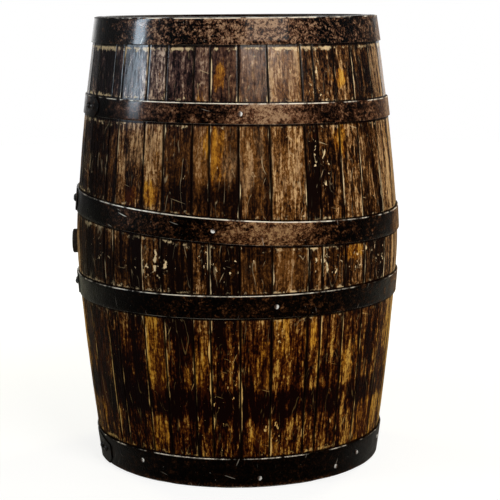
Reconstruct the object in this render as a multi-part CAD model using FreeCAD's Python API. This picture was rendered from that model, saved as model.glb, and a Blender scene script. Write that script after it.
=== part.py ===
"""Full-size oak spirit cask with a small wooden tap, standing on its lower head.

Millimetres, +Z up.  The origin is the centre of the ring of stave ends that the cask
stands on.  The bung is on the -X side and the tap is on the +Y side.

The wall is a ring of bent staves of uneven width.  Every stave is one sector of the same
turned profile: a bowed outer face, a chime with a bevelled lip at each end and the croze,
the groove that holds the head.  Both heads are pinned boards with a tongue turned on
their rim.  Riveted hoops hold the staves, and follow their bow.
"""

import math
import os

import FreeCAD
import Part

# Cask wall
CASK_HEIGHT = 898.0
BILGE_RADIUS = 329.5  # outside of the staves at mid height
TOP_END_RADIUS = 281.0  # outside of the staves at their upper ends
BOTTOM_END_RADIUS = 286.0
BILGE_ARC_RADIUS = 800.0  # the tighter bend at mid height
JOINT_SLOPE_SHARE = 0.73  # slope where that bend ends, as a share of the mean slope to the end
STAVE_THICKNESS = 27.0

# Widths of the staves at the bilge, anticlockwise from above.  They are shared out over
# the full turn, and the ring is turned so that the bung stave faces -X.
STAVE_WIDTHS = [
    ("bung_stave", 75.0),
    ("stave_01", 55.0),
    ("stave_02", 52.0),
    ("stave_03", 75.0),
    ("stave_04", 30.5),
    ("stave_05", 73.0),
    ("stave_06", 46.0),
    ("stave_07", 60.5),
    ("stave_08", 34.5),
    ("stave_09", 57.5),
    ("stave_10", 61.5),
    ("stave_11", 73.5),
    ("stave_12", 29.0),
    ("stave_13", 54.5),
    ("stave_14", 54.5),
    ("stave_15", 75.0),
    ("stave_16", 69.0),
    ("stave_17", 81.0),
    ("stave_18", 63.0),
    ("stave_19", 78.0),
    ("stave_20", 58.0),
    ("stave_21", 83.0),
    ("stave_22", 69.0),
    ("stave_23", 75.0),
    ("stave_24", 71.0),
    ("tap_stave", 75.0),
    ("stave_25", 63.0),
    ("stave_26", 75.0),
    ("stave_27", 52.0),
    ("stave_28", 69.0),
    ("stave_29", 60.5),
    ("stave_30", 66.0),
    ("stave_31", 58.0),
]
BUNG_AZIMUTH = 180.0  # degrees anticlockwise from +X
TAP_AZIMUTH = 90.0

# Stave ends and the groove for the head
CHIME_THICKNESS = 24.0  # wall between the croze and the stave end
CHIME_BEVEL = 8.0
CROZE_DISTANCE = 35.0  # stave end to the middle of the groove
CROZE_WIDTH = 6.0
CROZE_DEPTH = 5.0

# Heads
HEAD_THICKNESS = 22.0
HEAD_TONGUE_THICKNESS = 5.4
HEAD_TONGUE_LENGTH = 6.5
HEAD_RISE = 6.0  # outer face of the head above the tongue
HEAD_OUTER_BEVEL = 26.0
HEAD_INNER_BEVEL = 14.0
HEAD_RIM_CLEARANCE = 0.3
HEAD_BOARD_WIDTHS = [84.0, 92.0, 78.0, 96.0, 88.0, 82.0]
DOWEL_RADIUS = 4.5
DOWEL_LENGTH = 50.0
DOWEL_SPREAD = 0.5  # distance from the middle as a share of the half joint

# Hoops
HOOP_THICKNESS = 2.0
HOOP_CLEARANCE = 0.3
HEAD_LAP_LENGTH = 95.0  # on the three hoops nearer to a head
BILGE_LAP_LENGTH = 105.0
LAP_CLIP_SHARE = 0.28  # corners cut off the end of a lap, as a share of its width
LAP_RAMP = 22.0  # bevel at the inner end of a lap
TOP_HOOP_WIDTH = 49.5
TOP_HOOP_INSET = 1.5  # stave end to the near edge of the hoop
QUARTER_HOOP_WIDTH = 38.0
QUARTER_HOOP_DISTANCE = 157.0  # stave end to the near edge of the hoop
QUARTER_HOOP_TILT = 0.9
UPPER_BILGE_HOOP_WIDTH = 45.0
UPPER_BILGE_HOOP_RISE = 67.0  # middle of the cask to the middle of the hoop
UPPER_BILGE_HOOP_TILT = 4.0
UPPER_BILGE_HOOP_HIGH_SIDE = 152.0  # azimuth of its highest point
LOWER_BILGE_HOOP_WIDTH = 44.0
LOWER_BILGE_HOOP_DROP = 86.0
BOTTOM_HOOP_WIDTH = 58.0
BOTTOM_HOOP_INSET = 3.5
BOTTOM_LAP_SLANT = 44.0  # how much further back the upper corner of its lap is cut

# Rivets and nails
RIVET_HEAD_RADIUS = 6.5
RIVET_HEAD_HEIGHT = 5.0
RIVET_SHANK_RADIUS = 2.5
RIVET_PITCH = 26.0
RIVET_END_DISTANCE = 24.0  # lap end to the nearer rivet
NAIL_HEAD_RADIUS = 4.5
NAIL_HEAD_HEIGHT = 1.6
NAIL_SHANK_SIDE = 2.6
NAIL_LENGTH = 20.0

# Bung
BUNG_RADIUS = 25.0  # at its outer end
BUNG_LENGTH = 45.0
BUNG_PROUD = 9.5
BUNG_DROP = 8.0  # middle of the cask down to the middle of the bung
BUNG_TAPER = 0.04  # radius lost per millimetre of length
BUNG_CHAMFER = 2.0
BUNG_CLEARANCE = 0.3

# Tap
TAP_AXIS_HEIGHT = 98.0
TAP_TAIL_RADIUS = 10.5  # at the outer face of the stave
TAP_TAIL_TAPER = 0.04
TAP_TAIL_PROUD = 6.0  # tail end past the inner face of the stave
TAP_TAIL_CLEARANCE = 0.1
TAP_BORE_RADIUS = 3.5
TAP_BEAD_RADIUS = 14.5
TAP_NECK_RADIUS = 11.5
TAP_BELLY_RADIUS = 15.5
TAP_NOSE_RADIUS = 9.0
TAP_BEAD_START = 3.0  # these offsets run outwards from the stave along the tap
TAP_BEAD_END = 6.0
TAP_KEY_OFFSET = 22.0
TAP_SPOUT_OFFSET = 37.0
TAP_NOSE_OFFSET = 44.8
TAP_NOSE_BEVEL = 2.0
TAP_BELLY_LENGTH = 11.0
SPOUT_RADIUS = 6.5
SPOUT_DROP = 28.0
KEY_TOP_RADIUS = 7.4  # where the key enters the tap
KEY_TAPER = 0.04
KEY_TAIL_PROUD = 5.0  # key below the tap
KEY_CLEARANCE = 0.05
CORK_THICKNESS = 1.8
CORK_HEIGHT = 24.0
KEY_STEM_RADIUS = 6.0
KEY_STEM_HEIGHT = 10.0
KEY_PADDLE_RADIUS = 11.0
KEY_PADDLE_THICKNESS = 8.0

Z_AXIS = FreeCAD.Vector(0, 0, 1)
ORIGIN = FreeCAD.Vector(0, 0, 0)
OVERCUT = 5.0  # cutting bodies run past what they cut by this much
SEAM_TURN = 45.0  # keeps the seam of a cone out of the plane of the tap


def profile_point(radius, height):
    """A point of a turned section, which is drawn in the XZ plane."""
    return FreeCAD.Vector(radius, 0, height)


def section_face(edges):
    """A plane face bounded by edges that follow one another."""
    return Part.Face(Part.Wire(edges))


def polygon_face(points):
    """A plane face with straight sides."""
    return Part.Face(Part.makePolygon(points + points[:1]))


def turned(points):
    """A solid turned about Z from (radius, height) pairs."""
    face = polygon_face([profile_point(radius, height) for radius, height in points])
    return face.revolve(ORIGIN, Z_AXIS, 360)


class BowArc:
    """One arc of the bowed outer face of the staves."""

    def __init__(self, centre_radius, centre_height, bend_radius):
        self.centre_radius = centre_radius
        self.centre_height = centre_height
        self.bend_radius = bend_radius

    def radius_at(self, height, offset=0.0):
        """Distance from the cask axis, with the arc moved outwards by offset."""
        bend = self.bend_radius + offset
        return self.centre_radius + math.sqrt(bend**2 - (height - self.centre_height) ** 2)

    def edge(self, start, end, offset=0.0):
        """The arc between two heights."""
        heights = [start, (start + end) / 2, end]
        points = [profile_point(self.radius_at(height, offset), height) for height in heights]
        return Part.Arc(*points).toShape()

    def split_height(self, height, offset):
        """Height of the point that an offset moves along the normal from this height."""
        return height + offset * (height - self.centre_height) / self.bend_radius


def end_arc(bilge, joint_height, end_radius, end_height):
    """The arc that leaves the bilge arc tangentially and ends at the stave end."""
    start_radius = bilge.radius_at(joint_height)
    normal_radius = (start_radius - bilge.centre_radius) / bilge.bend_radius
    normal_height = (joint_height - bilge.centre_height) / bilge.bend_radius
    step_radius = end_radius - start_radius
    step_height = end_height - joint_height
    along_normal = step_radius * normal_radius + step_height * normal_height
    bend = -(step_radius**2 + step_height**2) / (2 * along_normal)
    centre_radius = start_radius - bend * normal_radius
    centre_height = joint_height - bend * normal_height
    return BowArc(centre_radius, centre_height, bend)


def joint_rise(end_radius):
    """Distance from mid height to where the tighter bend gives way to an end arc."""
    slope = JOINT_SLOPE_SHARE * (BILGE_RADIUS - end_radius) / MIDDLE
    return BILGE_ARC_RADIUS * slope / math.hypot(1, slope)


MIDDLE = CASK_HEIGHT / 2
LOW_JOINT = MIDDLE - joint_rise(BOTTOM_END_RADIUS)
HIGH_JOINT = MIDDLE + joint_rise(TOP_END_RADIUS)
BILGE_ARC = BowArc(BILGE_RADIUS - BILGE_ARC_RADIUS, MIDDLE, BILGE_ARC_RADIUS)
LOWER_ARC = end_arc(BILGE_ARC, LOW_JOINT, BOTTOM_END_RADIUS, 0.0)
UPPER_ARC = end_arc(BILGE_ARC, HIGH_JOINT, TOP_END_RADIUS, CASK_HEIGHT)
BOW = [LOWER_ARC, BILGE_ARC, UPPER_ARC]


def arc_at(height):
    """The arc of the bow that a height lies on."""
    if height < LOW_JOINT:
        return LOWER_ARC
    if height > HIGH_JOINT:
        return UPPER_ARC
    return BILGE_ARC


def wall_radius(height, offset=0.0):
    """Outer radius of the staves at a height, moved outwards by offset."""
    return arc_at(height).radius_at(height, offset)


def bow_edges(start, end, offset):
    """Edges up the bow from one height to another, moved outwards by offset."""
    low_joint = BILGE_ARC.split_height(LOW_JOINT, offset)
    high_joint = BILGE_ARC.split_height(HIGH_JOINT, offset)
    bounds = [start, low_joint, high_joint, end]
    return [arc.edge(bounds[i], bounds[i + 1], offset) for i, arc in enumerate(BOW)]


def direction(azimuth):
    """Unit vector that points level from the cask axis."""
    angle = math.radians(azimuth)
    return FreeCAD.Vector(math.cos(angle), math.sin(angle), 0)


def placed(shape, point, normal):
    """Move a shape from the origin to a point, with its Z axis along the normal."""
    turn = FreeCAD.Rotation(Z_AXIS, normal)
    return shape.transformed(FreeCAD.Placement(point, turn).toMatrix())


# ---------------------------------------------------------------- staves


def croze_heights(end_height, inward):
    """Groove lips nearer to and further from a stave end; inward is +1 or -1."""
    near = end_height + inward * (CROZE_DISTANCE - CROZE_WIDTH / 2)
    far = end_height + inward * (CROZE_DISTANCE + CROZE_WIDTH / 2)
    return near, far


def croze_radius(end_height, inward):
    """Radius of the bottom of the groove."""
    middle = end_height + inward * CROZE_DISTANCE
    return wall_radius(middle, -CHIME_THICKNESS) + CROZE_DEPTH


def chime_points(end_height, end_radius, inward):
    """Section of one stave end, from its outer corner to the inner lip of the groove."""
    near, far = croze_heights(end_height, inward)
    groove = croze_radius(end_height, inward)
    bevel_end = end_height + inward * CHIME_BEVEL
    bevel_radius = wall_radius(bevel_end, -CHIME_THICKNESS)
    return [
        profile_point(end_radius, end_height),
        profile_point(bevel_radius + CHIME_BEVEL, end_height),
        profile_point(bevel_radius, bevel_end),
        profile_point(wall_radius(near, -CHIME_THICKNESS), near),
        profile_point(groove, near),
        profile_point(groove, far),
        profile_point(wall_radius(far, -STAVE_THICKNESS), far),
    ]


def stave_section():
    """Section of the cask wall in the plane of its axis."""
    bottom = chime_points(0.0, BOTTOM_END_RADIUS, 1)
    top = chime_points(CASK_HEIGHT, TOP_END_RADIUS, -1)
    edges = bow_edges(0.0, CASK_HEIGHT, 0.0)
    edges += [Part.makeLine(a, b) for a, b in zip(top, top[1:])]
    edges += bow_edges(bottom[-1].z, top[-1].z, -STAVE_THICKNESS)[::-1]
    edges += [Part.makeLine(a, b) for a, b in zip(bottom, bottom[1:])][::-1]
    return section_face(Part.sortEdges(edges)[0])


def bung_cone(clearance):
    """Tapered plug about the bung axis, from its inner end to its outer end."""
    outer_face = BILGE_RADIUS + BUNG_PROUD
    height = MIDDLE - BUNG_DROP
    start = direction(BUNG_AZIMUTH) * (outer_face - BUNG_LENGTH) + Z_AXIS * height
    inner_radius = BUNG_RADIUS - BUNG_TAPER * BUNG_LENGTH
    return Part.makeCone(
        inner_radius + clearance,
        BUNG_RADIUS + clearance,
        BUNG_LENGTH,
        start,
        direction(BUNG_AZIMUTH),
    )


def staves():
    """Every stave of the ring, with the bung hole and the tap hole."""
    section = stave_section()
    total = sum(width for _, width in STAVE_WIDTHS)
    start = BUNG_AZIMUTH - 180.0 * STAVE_WIDTHS[0][1] / total
    pieces = {}
    for name, width in STAVE_WIDTHS:
        turn = 360.0 * width / total
        sector = section.revolve(ORIGIN, Z_AXIS, turn)
        sector.rotate(ORIGIN, Z_AXIS, start)
        pieces[name] = sector
        start += turn
    pieces["bung_stave"] = pieces["bung_stave"].cut(bung_cone(BUNG_CLEARANCE))
    pieces["tap_stave"] = pieces["tap_stave"].cut(tap_hole())
    return pieces


# ---------------------------------------------------------------- heads


def head_disc(end_height, inward):
    """A whole head with its turned tongue, at one end of the cask."""
    middle = end_height + inward * CROZE_DISTANCE
    rim = croze_radius(end_height, inward) - HEAD_RIM_CLEARANCE
    half_tongue = HEAD_TONGUE_THICKNESS / 2
    outer = middle - inward * (half_tongue + HEAD_RISE)
    inner = outer + inward * HEAD_THICKNESS
    root = rim - HEAD_TONGUE_LENGTH
    return turned(
        [
            (0, outer),
            (root - HEAD_OUTER_BEVEL, outer),
            (root, middle - inward * half_tongue),
            (rim, middle - inward * half_tongue),
            (rim, middle + inward * half_tongue),
            (root, middle + inward * half_tongue),
            (root - HEAD_INNER_BEVEL, inner),
            (0, inner),
        ]
    )


def head_joints(rim):
    """Positions of the board edges across a head, from rim to rim."""
    total = sum(HEAD_BOARD_WIDTHS)
    edges = [-rim]
    for width in HEAD_BOARD_WIDTHS:
        edges.append(edges[-1] + 2 * rim * width / total)
    return edges


def head_dowels(end_height, inward):
    """The pins between the boards of one head."""
    rim = croze_radius(end_height, inward) - HEAD_RIM_CLEARANCE
    outer = end_height + inward * (CROZE_DISTANCE - HEAD_TONGUE_THICKNESS / 2 - HEAD_RISE)
    height = outer + inward * HEAD_THICKNESS / 2
    pins = []
    for joint in head_joints(rim)[1:-1]:
        half_joint = math.sqrt(rim**2 - joint**2)
        for side in (-1, 1):
            start = FreeCAD.Vector(side * DOWEL_SPREAD * half_joint, joint - DOWEL_LENGTH / 2, height)
            pins.append(Part.makeCylinder(DOWEL_RADIUS, DOWEL_LENGTH, start, FreeCAD.Vector(0, 1, 0)))
    return pins


def head_boards(name, end_height, inward):
    """The boards of one head, which run towards the bung."""
    disc = head_disc(end_height, inward)
    rim = croze_radius(end_height, inward) - HEAD_RIM_CLEARANCE
    edges = head_joints(rim)
    low = disc.BoundBox.ZMin - OVERCUT
    depth = disc.BoundBox.ZLength + 2 * OVERCUT
    pieces = {}
    for number, (near, far) in enumerate(zip(edges, edges[1:]), start=1):
        corner = FreeCAD.Vector(-rim - OVERCUT, near, low)
        slab = Part.makeBox(2 * (rim + OVERCUT), far - near, depth, corner)
        pieces[f"{name}_board_{number}"] = disc.common(slab)
    return pieces


# ---------------------------------------------------------------- hoops


class Hoop:
    """One riveted hoop of straight strip, which lies along the bow at its middle height.

    The lap ends at an azimuth, and the hoop is tilted up towards its high side.
    """

    def __init__(
        self, name, middle, width, lap_end, lap_length, lap_slant=0.0, tilt=0.0, high_side=180.0
    ):
        self.name = name
        self.middle = middle
        self.width = width
        self.lap_end = lap_end
        self.lap_length = lap_length
        self.lap_slant = lap_slant
        self.tilt = tilt
        self.high_side = high_side
        arc = arc_at(middle)
        self.radius = wall_radius(middle)
        self.normal_radius = (self.radius - arc.centre_radius) / arc.bend_radius
        self.normal_height = (middle - arc.centre_height) / arc.bend_radius
        self.rise = math.tan(math.radians(tilt)) * self.radius

    def face_radius(self, height, layers):
        """Radius of the outside of so many layers of strip at a height."""
        offset = HOOP_CLEARANCE + layers * HOOP_THICKNESS
        drop = (height - self.middle) * self.normal_height
        return self.radius + (offset - drop) / self.normal_radius

    def point_at(self, azimuth, above, layers):
        """A point on the strip, above its centre line, and the outward normal there."""
        height = self.height_at(azimuth) + above
        outward = direction(azimuth)
        point = outward * self.face_radius(height, layers) + Z_AXIS * height
        return point, outward * self.normal_radius + Z_AXIS * self.normal_height

    def height_at(self, azimuth):
        """Height of the centre line of the hoop at an azimuth."""
        return self.middle + self.rise * math.cos(math.radians(azimuth - self.high_side))

    def tilted(self, shape):
        """Tilt a shape about the centre of the hoop."""
        tipped = shape.copy()
        tipped.rotate(Z_AXIS * self.middle, direction(self.high_side - 90), self.tilt)
        return tipped

    def band(self, layers):
        """A cone around the cask, one strip thick, outside so many layers of strip."""
        reach = self.width / 2 + self.rise + OVERCUT
        low = self.middle - reach
        high = self.middle + reach
        return turned(
            [
                (self.face_radius(low, layers), low),
                (self.face_radius(low, layers + 1), low),
                (self.face_radius(high, layers + 1), high),
                (self.face_radius(high, layers), high),
            ]
        )

    def slab(self):
        """The space between the two edges of the hoop."""
        reach = self.radius + self.width + OVERCUT
        corner = FreeCAD.Vector(-reach, -reach, self.middle - self.width / 2)
        return self.tilted(Part.makeBox(2 * reach, 2 * reach, self.width, corner))

    def lap_azimuth(self, distance):
        """Azimuth at a distance back from the end of the lap."""
        return self.lap_end - math.degrees(distance / self.radius)

    def lap_cutter(self):
        """A prism with the outline of the lap, along the radius through its middle."""
        half_length = self.lap_length / 2
        half_width = self.width / 2
        clip = self.width * LAP_CLIP_SHARE
        outline = [
            (-half_length, -half_width),
            (half_length - clip, -half_width),
            (half_length, clip - half_width),
            (half_length, half_width - clip),
            (half_length - clip - self.lap_slant, half_width),
            (-half_length, half_width),
        ]
        azimuth = self.lap_azimuth(half_length)
        outward = direction(azimuth)
        along = direction(azimuth + 90)
        centre = outward * (self.radius / 2) + Z_AXIS * self.middle
        points = [centre + along * x + Z_AXIS * y for x, y in outline]
        return self.tilted(polygon_face(points).extrude(outward * self.radius))

    def ramp_cutter(self):
        """What the bevel at the inner end takes off the lap."""
        foot_azimuth = self.lap_azimuth(self.lap_length)
        head_azimuth = self.lap_azimuth(self.lap_length - LAP_RAMP)
        foot = direction(foot_azimuth) * self.face_radius(self.middle, 1)
        head = direction(head_azimuth) * self.face_radius(self.middle, 2)
        slope = head - foot
        outward = slope.cross(Z_AXIS)
        outward.normalize()
        slope.normalize()
        back = foot - slope * self.width
        corners = [back, head, head + outward * self.width, back + outward * self.width]
        depth = 4 * self.width
        low = Z_AXIS * (self.middle - depth / 2)
        prism = polygon_face([point + low for point in corners]).extrude(Z_AXIS * depth)
        lean = math.degrees(math.atan2(self.normal_height, self.normal_radius))
        prism.rotate(foot + Z_AXIS * self.middle, slope, lean)
        return self.tilted(prism)

    def solid(self):
        """The hoop, with the outer layer of its lap."""
        ring = self.band(0).common(self.slab())
        lap = self.band(1).common(self.lap_cutter()).cut(self.ramp_cutter())
        return ring.fuse(lap).removeSplitter()

    def rivet_places(self):
        """Points and normals of the two rivets, on top of the lap."""
        distances = (RIVET_END_DISTANCE, RIVET_END_DISTANCE + RIVET_PITCH)
        return [self.point_at(self.lap_azimuth(distance), 0.0, 2) for distance in distances]


TOP_HOOP = Hoop(
    "top_head_hoop",
    middle=CASK_HEIGHT - TOP_HOOP_INSET - TOP_HOOP_WIDTH / 2,
    width=TOP_HOOP_WIDTH,
    lap_end=165.0,
    lap_length=HEAD_LAP_LENGTH,
)
QUARTER_HOOP = Hoop(
    "upper_quarter_hoop",
    middle=CASK_HEIGHT - QUARTER_HOOP_DISTANCE - QUARTER_HOOP_WIDTH / 2,
    width=QUARTER_HOOP_WIDTH,
    lap_end=210.0,
    lap_length=HEAD_LAP_LENGTH,
    tilt=QUARTER_HOOP_TILT,
)
UPPER_BILGE_HOOP = Hoop(
    "upper_bilge_hoop",
    middle=MIDDLE + UPPER_BILGE_HOOP_RISE,
    width=UPPER_BILGE_HOOP_WIDTH,
    lap_end=192.0,
    lap_length=BILGE_LAP_LENGTH,
    tilt=UPPER_BILGE_HOOP_TILT,
    high_side=UPPER_BILGE_HOOP_HIGH_SIDE,
)
LOWER_BILGE_HOOP = Hoop(
    "lower_bilge_hoop",
    middle=MIDDLE - LOWER_BILGE_HOOP_DROP,
    width=LOWER_BILGE_HOOP_WIDTH,
    lap_end=190.0,
    lap_length=BILGE_LAP_LENGTH,
)
BOTTOM_HOOP = Hoop(
    "bottom_head_hoop",
    middle=BOTTOM_HOOP_INSET + BOTTOM_HOOP_WIDTH / 2,
    width=BOTTOM_HOOP_WIDTH,
    lap_end=208.5,
    lap_length=HEAD_LAP_LENGTH,
    lap_slant=BOTTOM_LAP_SLANT,
)
HOOPS = [TOP_HOOP, QUARTER_HOOP, UPPER_BILGE_HOOP, LOWER_BILGE_HOOP, BOTTOM_HOOP]

# Azimuth of each nail, and its height above the centre line as a share of the hoop's width.
NAILS = [
    (TOP_HOOP, 15.0, 0.0),
    (TOP_HOOP, 118.0, 0.08),
    (QUARTER_HOOP, 30.0, 0.0),
    (QUARTER_HOOP, 150.0, 0.05),
    (QUARTER_HOOP, 271.2, 0.0),
    (UPPER_BILGE_HOOP, 20.0, 0.0),
    (UPPER_BILGE_HOOP, 140.0, 0.07),
    (UPPER_BILGE_HOOP, 262.1, 0.0),
    (LOWER_BILGE_HOOP, 45.0, 0.0),
    (LOWER_BILGE_HOOP, 155.0, -0.07),
    (LOWER_BILGE_HOOP, 282.6, 0.0),
    (BOTTOM_HOOP, 23.5, -0.10),
    (BOTTOM_HOOP, 75.0, 0.10),
    (BOTTOM_HOOP, 131.0, -0.14),
    (BOTTOM_HOOP, 229.8, 0.12),
    (BOTTOM_HOOP, 277.6, -0.19),
    (BOTTOM_HOOP, 310.5, -0.17),
    (BOTTOM_HOOP, 322.4, 0.09),
    (BOTTOM_HOOP, 344.6, 0.12),
]


def domed_pin(head_radius, head_height, shank_radius, shank_length):
    """A round-headed pin along Z, with the underside of its head at the origin."""
    sphere_radius = (head_radius**2 + head_height**2) / (2 * head_height)
    dome_angle = math.asin(head_radius / sphere_radius)
    shoulder = profile_point(head_radius, 0)
    crown = profile_point(0, head_height)
    half = dome_angle / 2
    centre_height = head_height - sphere_radius
    halfway = profile_point(
        sphere_radius * math.sin(half), centre_height + sphere_radius * math.cos(half)
    )
    foot = [
        crown,
        profile_point(0, -shank_length),
        profile_point(shank_radius, -shank_length),
        profile_point(shank_radius, 0),
        shoulder,
    ]
    edges = [Part.makeLine(a, b) for a, b in zip(foot, foot[1:])]
    edges.append(Part.Arc(shoulder, halfway, crown).toShape())
    return section_face(edges).revolve(ORIGIN, Z_AXIS, 360)


def hoop_rivets():
    """Two rivets through every lap."""
    rivet = domed_pin(
        RIVET_HEAD_RADIUS, RIVET_HEAD_HEIGHT, RIVET_SHANK_RADIUS, 2 * HOOP_THICKNESS
    )
    return [placed(rivet, *place) for hoop in HOOPS for place in hoop.rivet_places()]


def hoop_nails():
    """The flat-headed cut nails that keep the hoops from creeping."""
    corner = FreeCAD.Vector(-NAIL_SHANK_SIDE / 2, -NAIL_SHANK_SIDE / 2, -NAIL_LENGTH)
    shank = Part.makeBox(NAIL_SHANK_SIDE, NAIL_SHANK_SIDE, NAIL_LENGTH, corner)
    nail = Part.makeCylinder(NAIL_HEAD_RADIUS, NAIL_HEAD_HEIGHT).fuse(shank)
    places = [hoop.point_at(azimuth, share * hoop.width, 1) for hoop, azimuth, share in NAILS]
    return [placed(nail, *place) for place in places]


# ---------------------------------------------------------------- bung


def bung():
    """The tapered bung with the edge of its outer face broken."""
    plug = bung_cone(0.0)
    outer_face = BILGE_RADIUS + BUNG_PROUD
    rims = [
        edge
        for edge in plug.Edges
        if abs(edge.BoundBox.Center.dot(direction(BUNG_AZIMUTH)) - outer_face) < 1e-3
        and edge.Closed
    ]
    return plug.makeChamfer(BUNG_CHAMFER, rims)


# ---------------------------------------------------------------- tap

STAVE_FACE = wall_radius(TAP_AXIS_HEIGHT)
TAP_CENTRE = Z_AXIS * TAP_AXIS_HEIGHT
TAP_DIRECTION = direction(TAP_AZIMUTH)
KEY_AXIS = TAP_DIRECTION * (STAVE_FACE + TAP_KEY_OFFSET)
TAIL_LENGTH = STAVE_THICKNESS + TAP_TAIL_PROUD
BORE_DOWN = FreeCAD.Vector(0, 0, -1)


def along_tap(profile):
    """A solid turned about the tap axis from (radius, offset from the stave) pairs."""
    blank = turned(profile)
    return placed(blank, TAP_CENTRE + TAP_DIRECTION * STAVE_FACE, TAP_DIRECTION)


def tail_points(clearance):
    """Section of the tapered tail, from its end to just outside the stave."""
    end_radius = TAP_TAIL_RADIUS - TAP_TAIL_TAPER * TAIL_LENGTH + clearance
    mouth_radius = TAP_TAIL_RADIUS + TAP_TAIL_TAPER * TAP_BEAD_START + clearance
    return [(0, -TAIL_LENGTH), (end_radius, -TAIL_LENGTH), (mouth_radius, TAP_BEAD_START)]


def tap_hole():
    """What the hole for the tail takes out of its stave."""
    return along_tap(tail_points(TAP_TAIL_CLEARANCE) + [(0, TAP_BEAD_START)])


def key_radius(height, growth=0.0):
    """Radius of the tapered key at a height above the tap axis."""
    return KEY_TOP_RADIUS - KEY_TAPER * (TAP_BELLY_RADIUS - height) + growth


def key_cone(low, high, growth):
    """A cone about the key axis between two heights above the tap axis."""
    start = KEY_AXIS + Z_AXIS * (TAP_AXIS_HEIGHT + low)
    cone = Part.makeCone(key_radius(low, growth), key_radius(high, growth), high - low, start, Z_AXIS)
    cone.rotate(KEY_AXIS, Z_AXIS, SEAM_TURN)
    return cone


def tap_bore():
    """The passage from the tail to the spout."""
    length = TAIL_LENGTH + OVERCUT + TAP_SPOUT_OFFSET
    start = TAP_CENTRE + TAP_DIRECTION * (STAVE_FACE - TAIL_LENGTH - OVERCUT)
    level = Part.makeCylinder(TAP_BORE_RADIUS, length, start, TAP_DIRECTION)
    top = TAP_CENTRE + TAP_DIRECTION * (STAVE_FACE + TAP_SPOUT_OFFSET)
    return level, Part.makeCylinder(TAP_BORE_RADIUS, SPOUT_DROP + OVERCUT, top, BORE_DOWN)


def tap_body():
    """The turned body with its spout, passages and the socket for the cork."""
    turning = along_tap(
        tail_points(0.0)
        + [
            (TAP_BEAD_RADIUS, TAP_BEAD_START),
            (TAP_BEAD_RADIUS, TAP_BEAD_END),
            (TAP_NECK_RADIUS, TAP_BEAD_END),
            (TAP_BELLY_RADIUS, TAP_KEY_OFFSET - TAP_BELLY_LENGTH / 2),
            (TAP_BELLY_RADIUS, TAP_KEY_OFFSET + TAP_BELLY_LENGTH / 2),
            (TAP_NOSE_RADIUS, TAP_SPOUT_OFFSET - TAP_NOSE_RADIUS / 2),
            (TAP_NOSE_RADIUS, TAP_NOSE_OFFSET - TAP_NOSE_BEVEL),
            (TAP_NOSE_RADIUS - TAP_NOSE_BEVEL, TAP_NOSE_OFFSET),
            (0, TAP_NOSE_OFFSET),
        ]
    )
    top = TAP_CENTRE + TAP_DIRECTION * (STAVE_FACE + TAP_SPOUT_OFFSET)
    spout = Part.makeCylinder(SPOUT_RADIUS, SPOUT_DROP, top, BORE_DOWN)
    body = turning.fuse(spout)
    socket = key_cone(-TAP_BELLY_RADIUS - OVERCUT, TAP_BELLY_RADIUS + OVERCUT, CORK_THICKNESS)
    level, down = tap_bore()
    return body.cut([socket, level, down])


def tap_cork():
    """The cork bush that seals the key in the body."""
    level, _ = tap_bore()
    bush = key_cone(-CORK_HEIGHT / 2, CORK_HEIGHT / 2, CORK_THICKNESS)
    room = key_cone(-CORK_HEIGHT / 2 - OVERCUT, CORK_HEIGHT / 2 + OVERCUT, KEY_CLEARANCE)
    return bush.cut([room, level])


def tap_key():
    """The tapered key with its cross bore, stem and thumb paddle, at rest shut."""
    low = -TAP_BELLY_RADIUS - KEY_TAIL_PROUD
    plug = key_cone(low, TAP_BELLY_RADIUS, 0.0)
    stem_foot = KEY_AXIS + Z_AXIS * (TAP_AXIS_HEIGHT + TAP_BELLY_RADIUS)
    stem_length = KEY_STEM_HEIGHT + KEY_PADDLE_RADIUS
    stem = Part.makeCylinder(KEY_STEM_RADIUS, stem_length, stem_foot, Z_AXIS)
    paddle_middle = stem_foot + Z_AXIS * stem_length
    paddle_face = paddle_middle - TAP_DIRECTION * (KEY_PADDLE_THICKNESS / 2)
    paddle = Part.makeCylinder(
        KEY_PADDLE_RADIUS, KEY_PADDLE_THICKNESS, paddle_face, TAP_DIRECTION
    )
    across = direction(TAP_AZIMUTH + 90)
    reach = 2 * KEY_TOP_RADIUS
    cross_start = KEY_AXIS + TAP_CENTRE - across * reach
    cross_bore = Part.makeCylinder(TAP_BORE_RADIUS, 2 * reach, cross_start, across)
    return plug.fuse([stem, paddle]).removeSplitter().cut(cross_bore)


def build():
    """Every node of the cask, by name."""
    nodes = staves()
    nodes.update(head_boards("bottom_head", 0.0, 1))
    nodes.update(head_boards("top_head", CASK_HEIGHT, -1))
    nodes["head_dowels"] = Part.makeCompound(head_dowels(0.0, 1) + head_dowels(CASK_HEIGHT, -1))
    nodes.update({hoop.name: hoop.solid() for hoop in HOOPS})
    nodes["hoop_rivets"] = Part.makeCompound(hoop_rivets())
    nodes["hoop_nails"] = Part.makeCompound(hoop_nails())
    nodes["bung"] = bung()
    nodes["tap_body"] = tap_body()
    nodes["tap_cork"] = tap_cork()
    nodes["tap_key"] = tap_key()
    return nodes


os.makedirs("parts", exist_ok=True)
for node_name, node_shape in build().items():
    node_shape.exportStep(f"parts/{node_name}.step")
    print(f"{node_name}: {len(node_shape.Solids)} solids, {node_shape.Volume / 1000:.1f} cm3")
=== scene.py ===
"""Looks of an upright oak spirit cask with a small wooden tap at its back.

Metres, +Z up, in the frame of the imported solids.  The bung faces -X and the tap faces +Y.
Staves and hoops are modelled anew in the place of their solids.  The heads, the bung, the
tap and the fasteners keep the outline of their solids and get softened edges.
Every finish is procedural, and follows the piece by attributes of its mesh or by its place.
"""

from __future__ import annotations

import logging
import math
import random
from contextlib import contextmanager
from dataclasses import dataclass
from enum import Enum
from functools import cached_property
from typing import Callable, Iterator, Sequence

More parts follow.
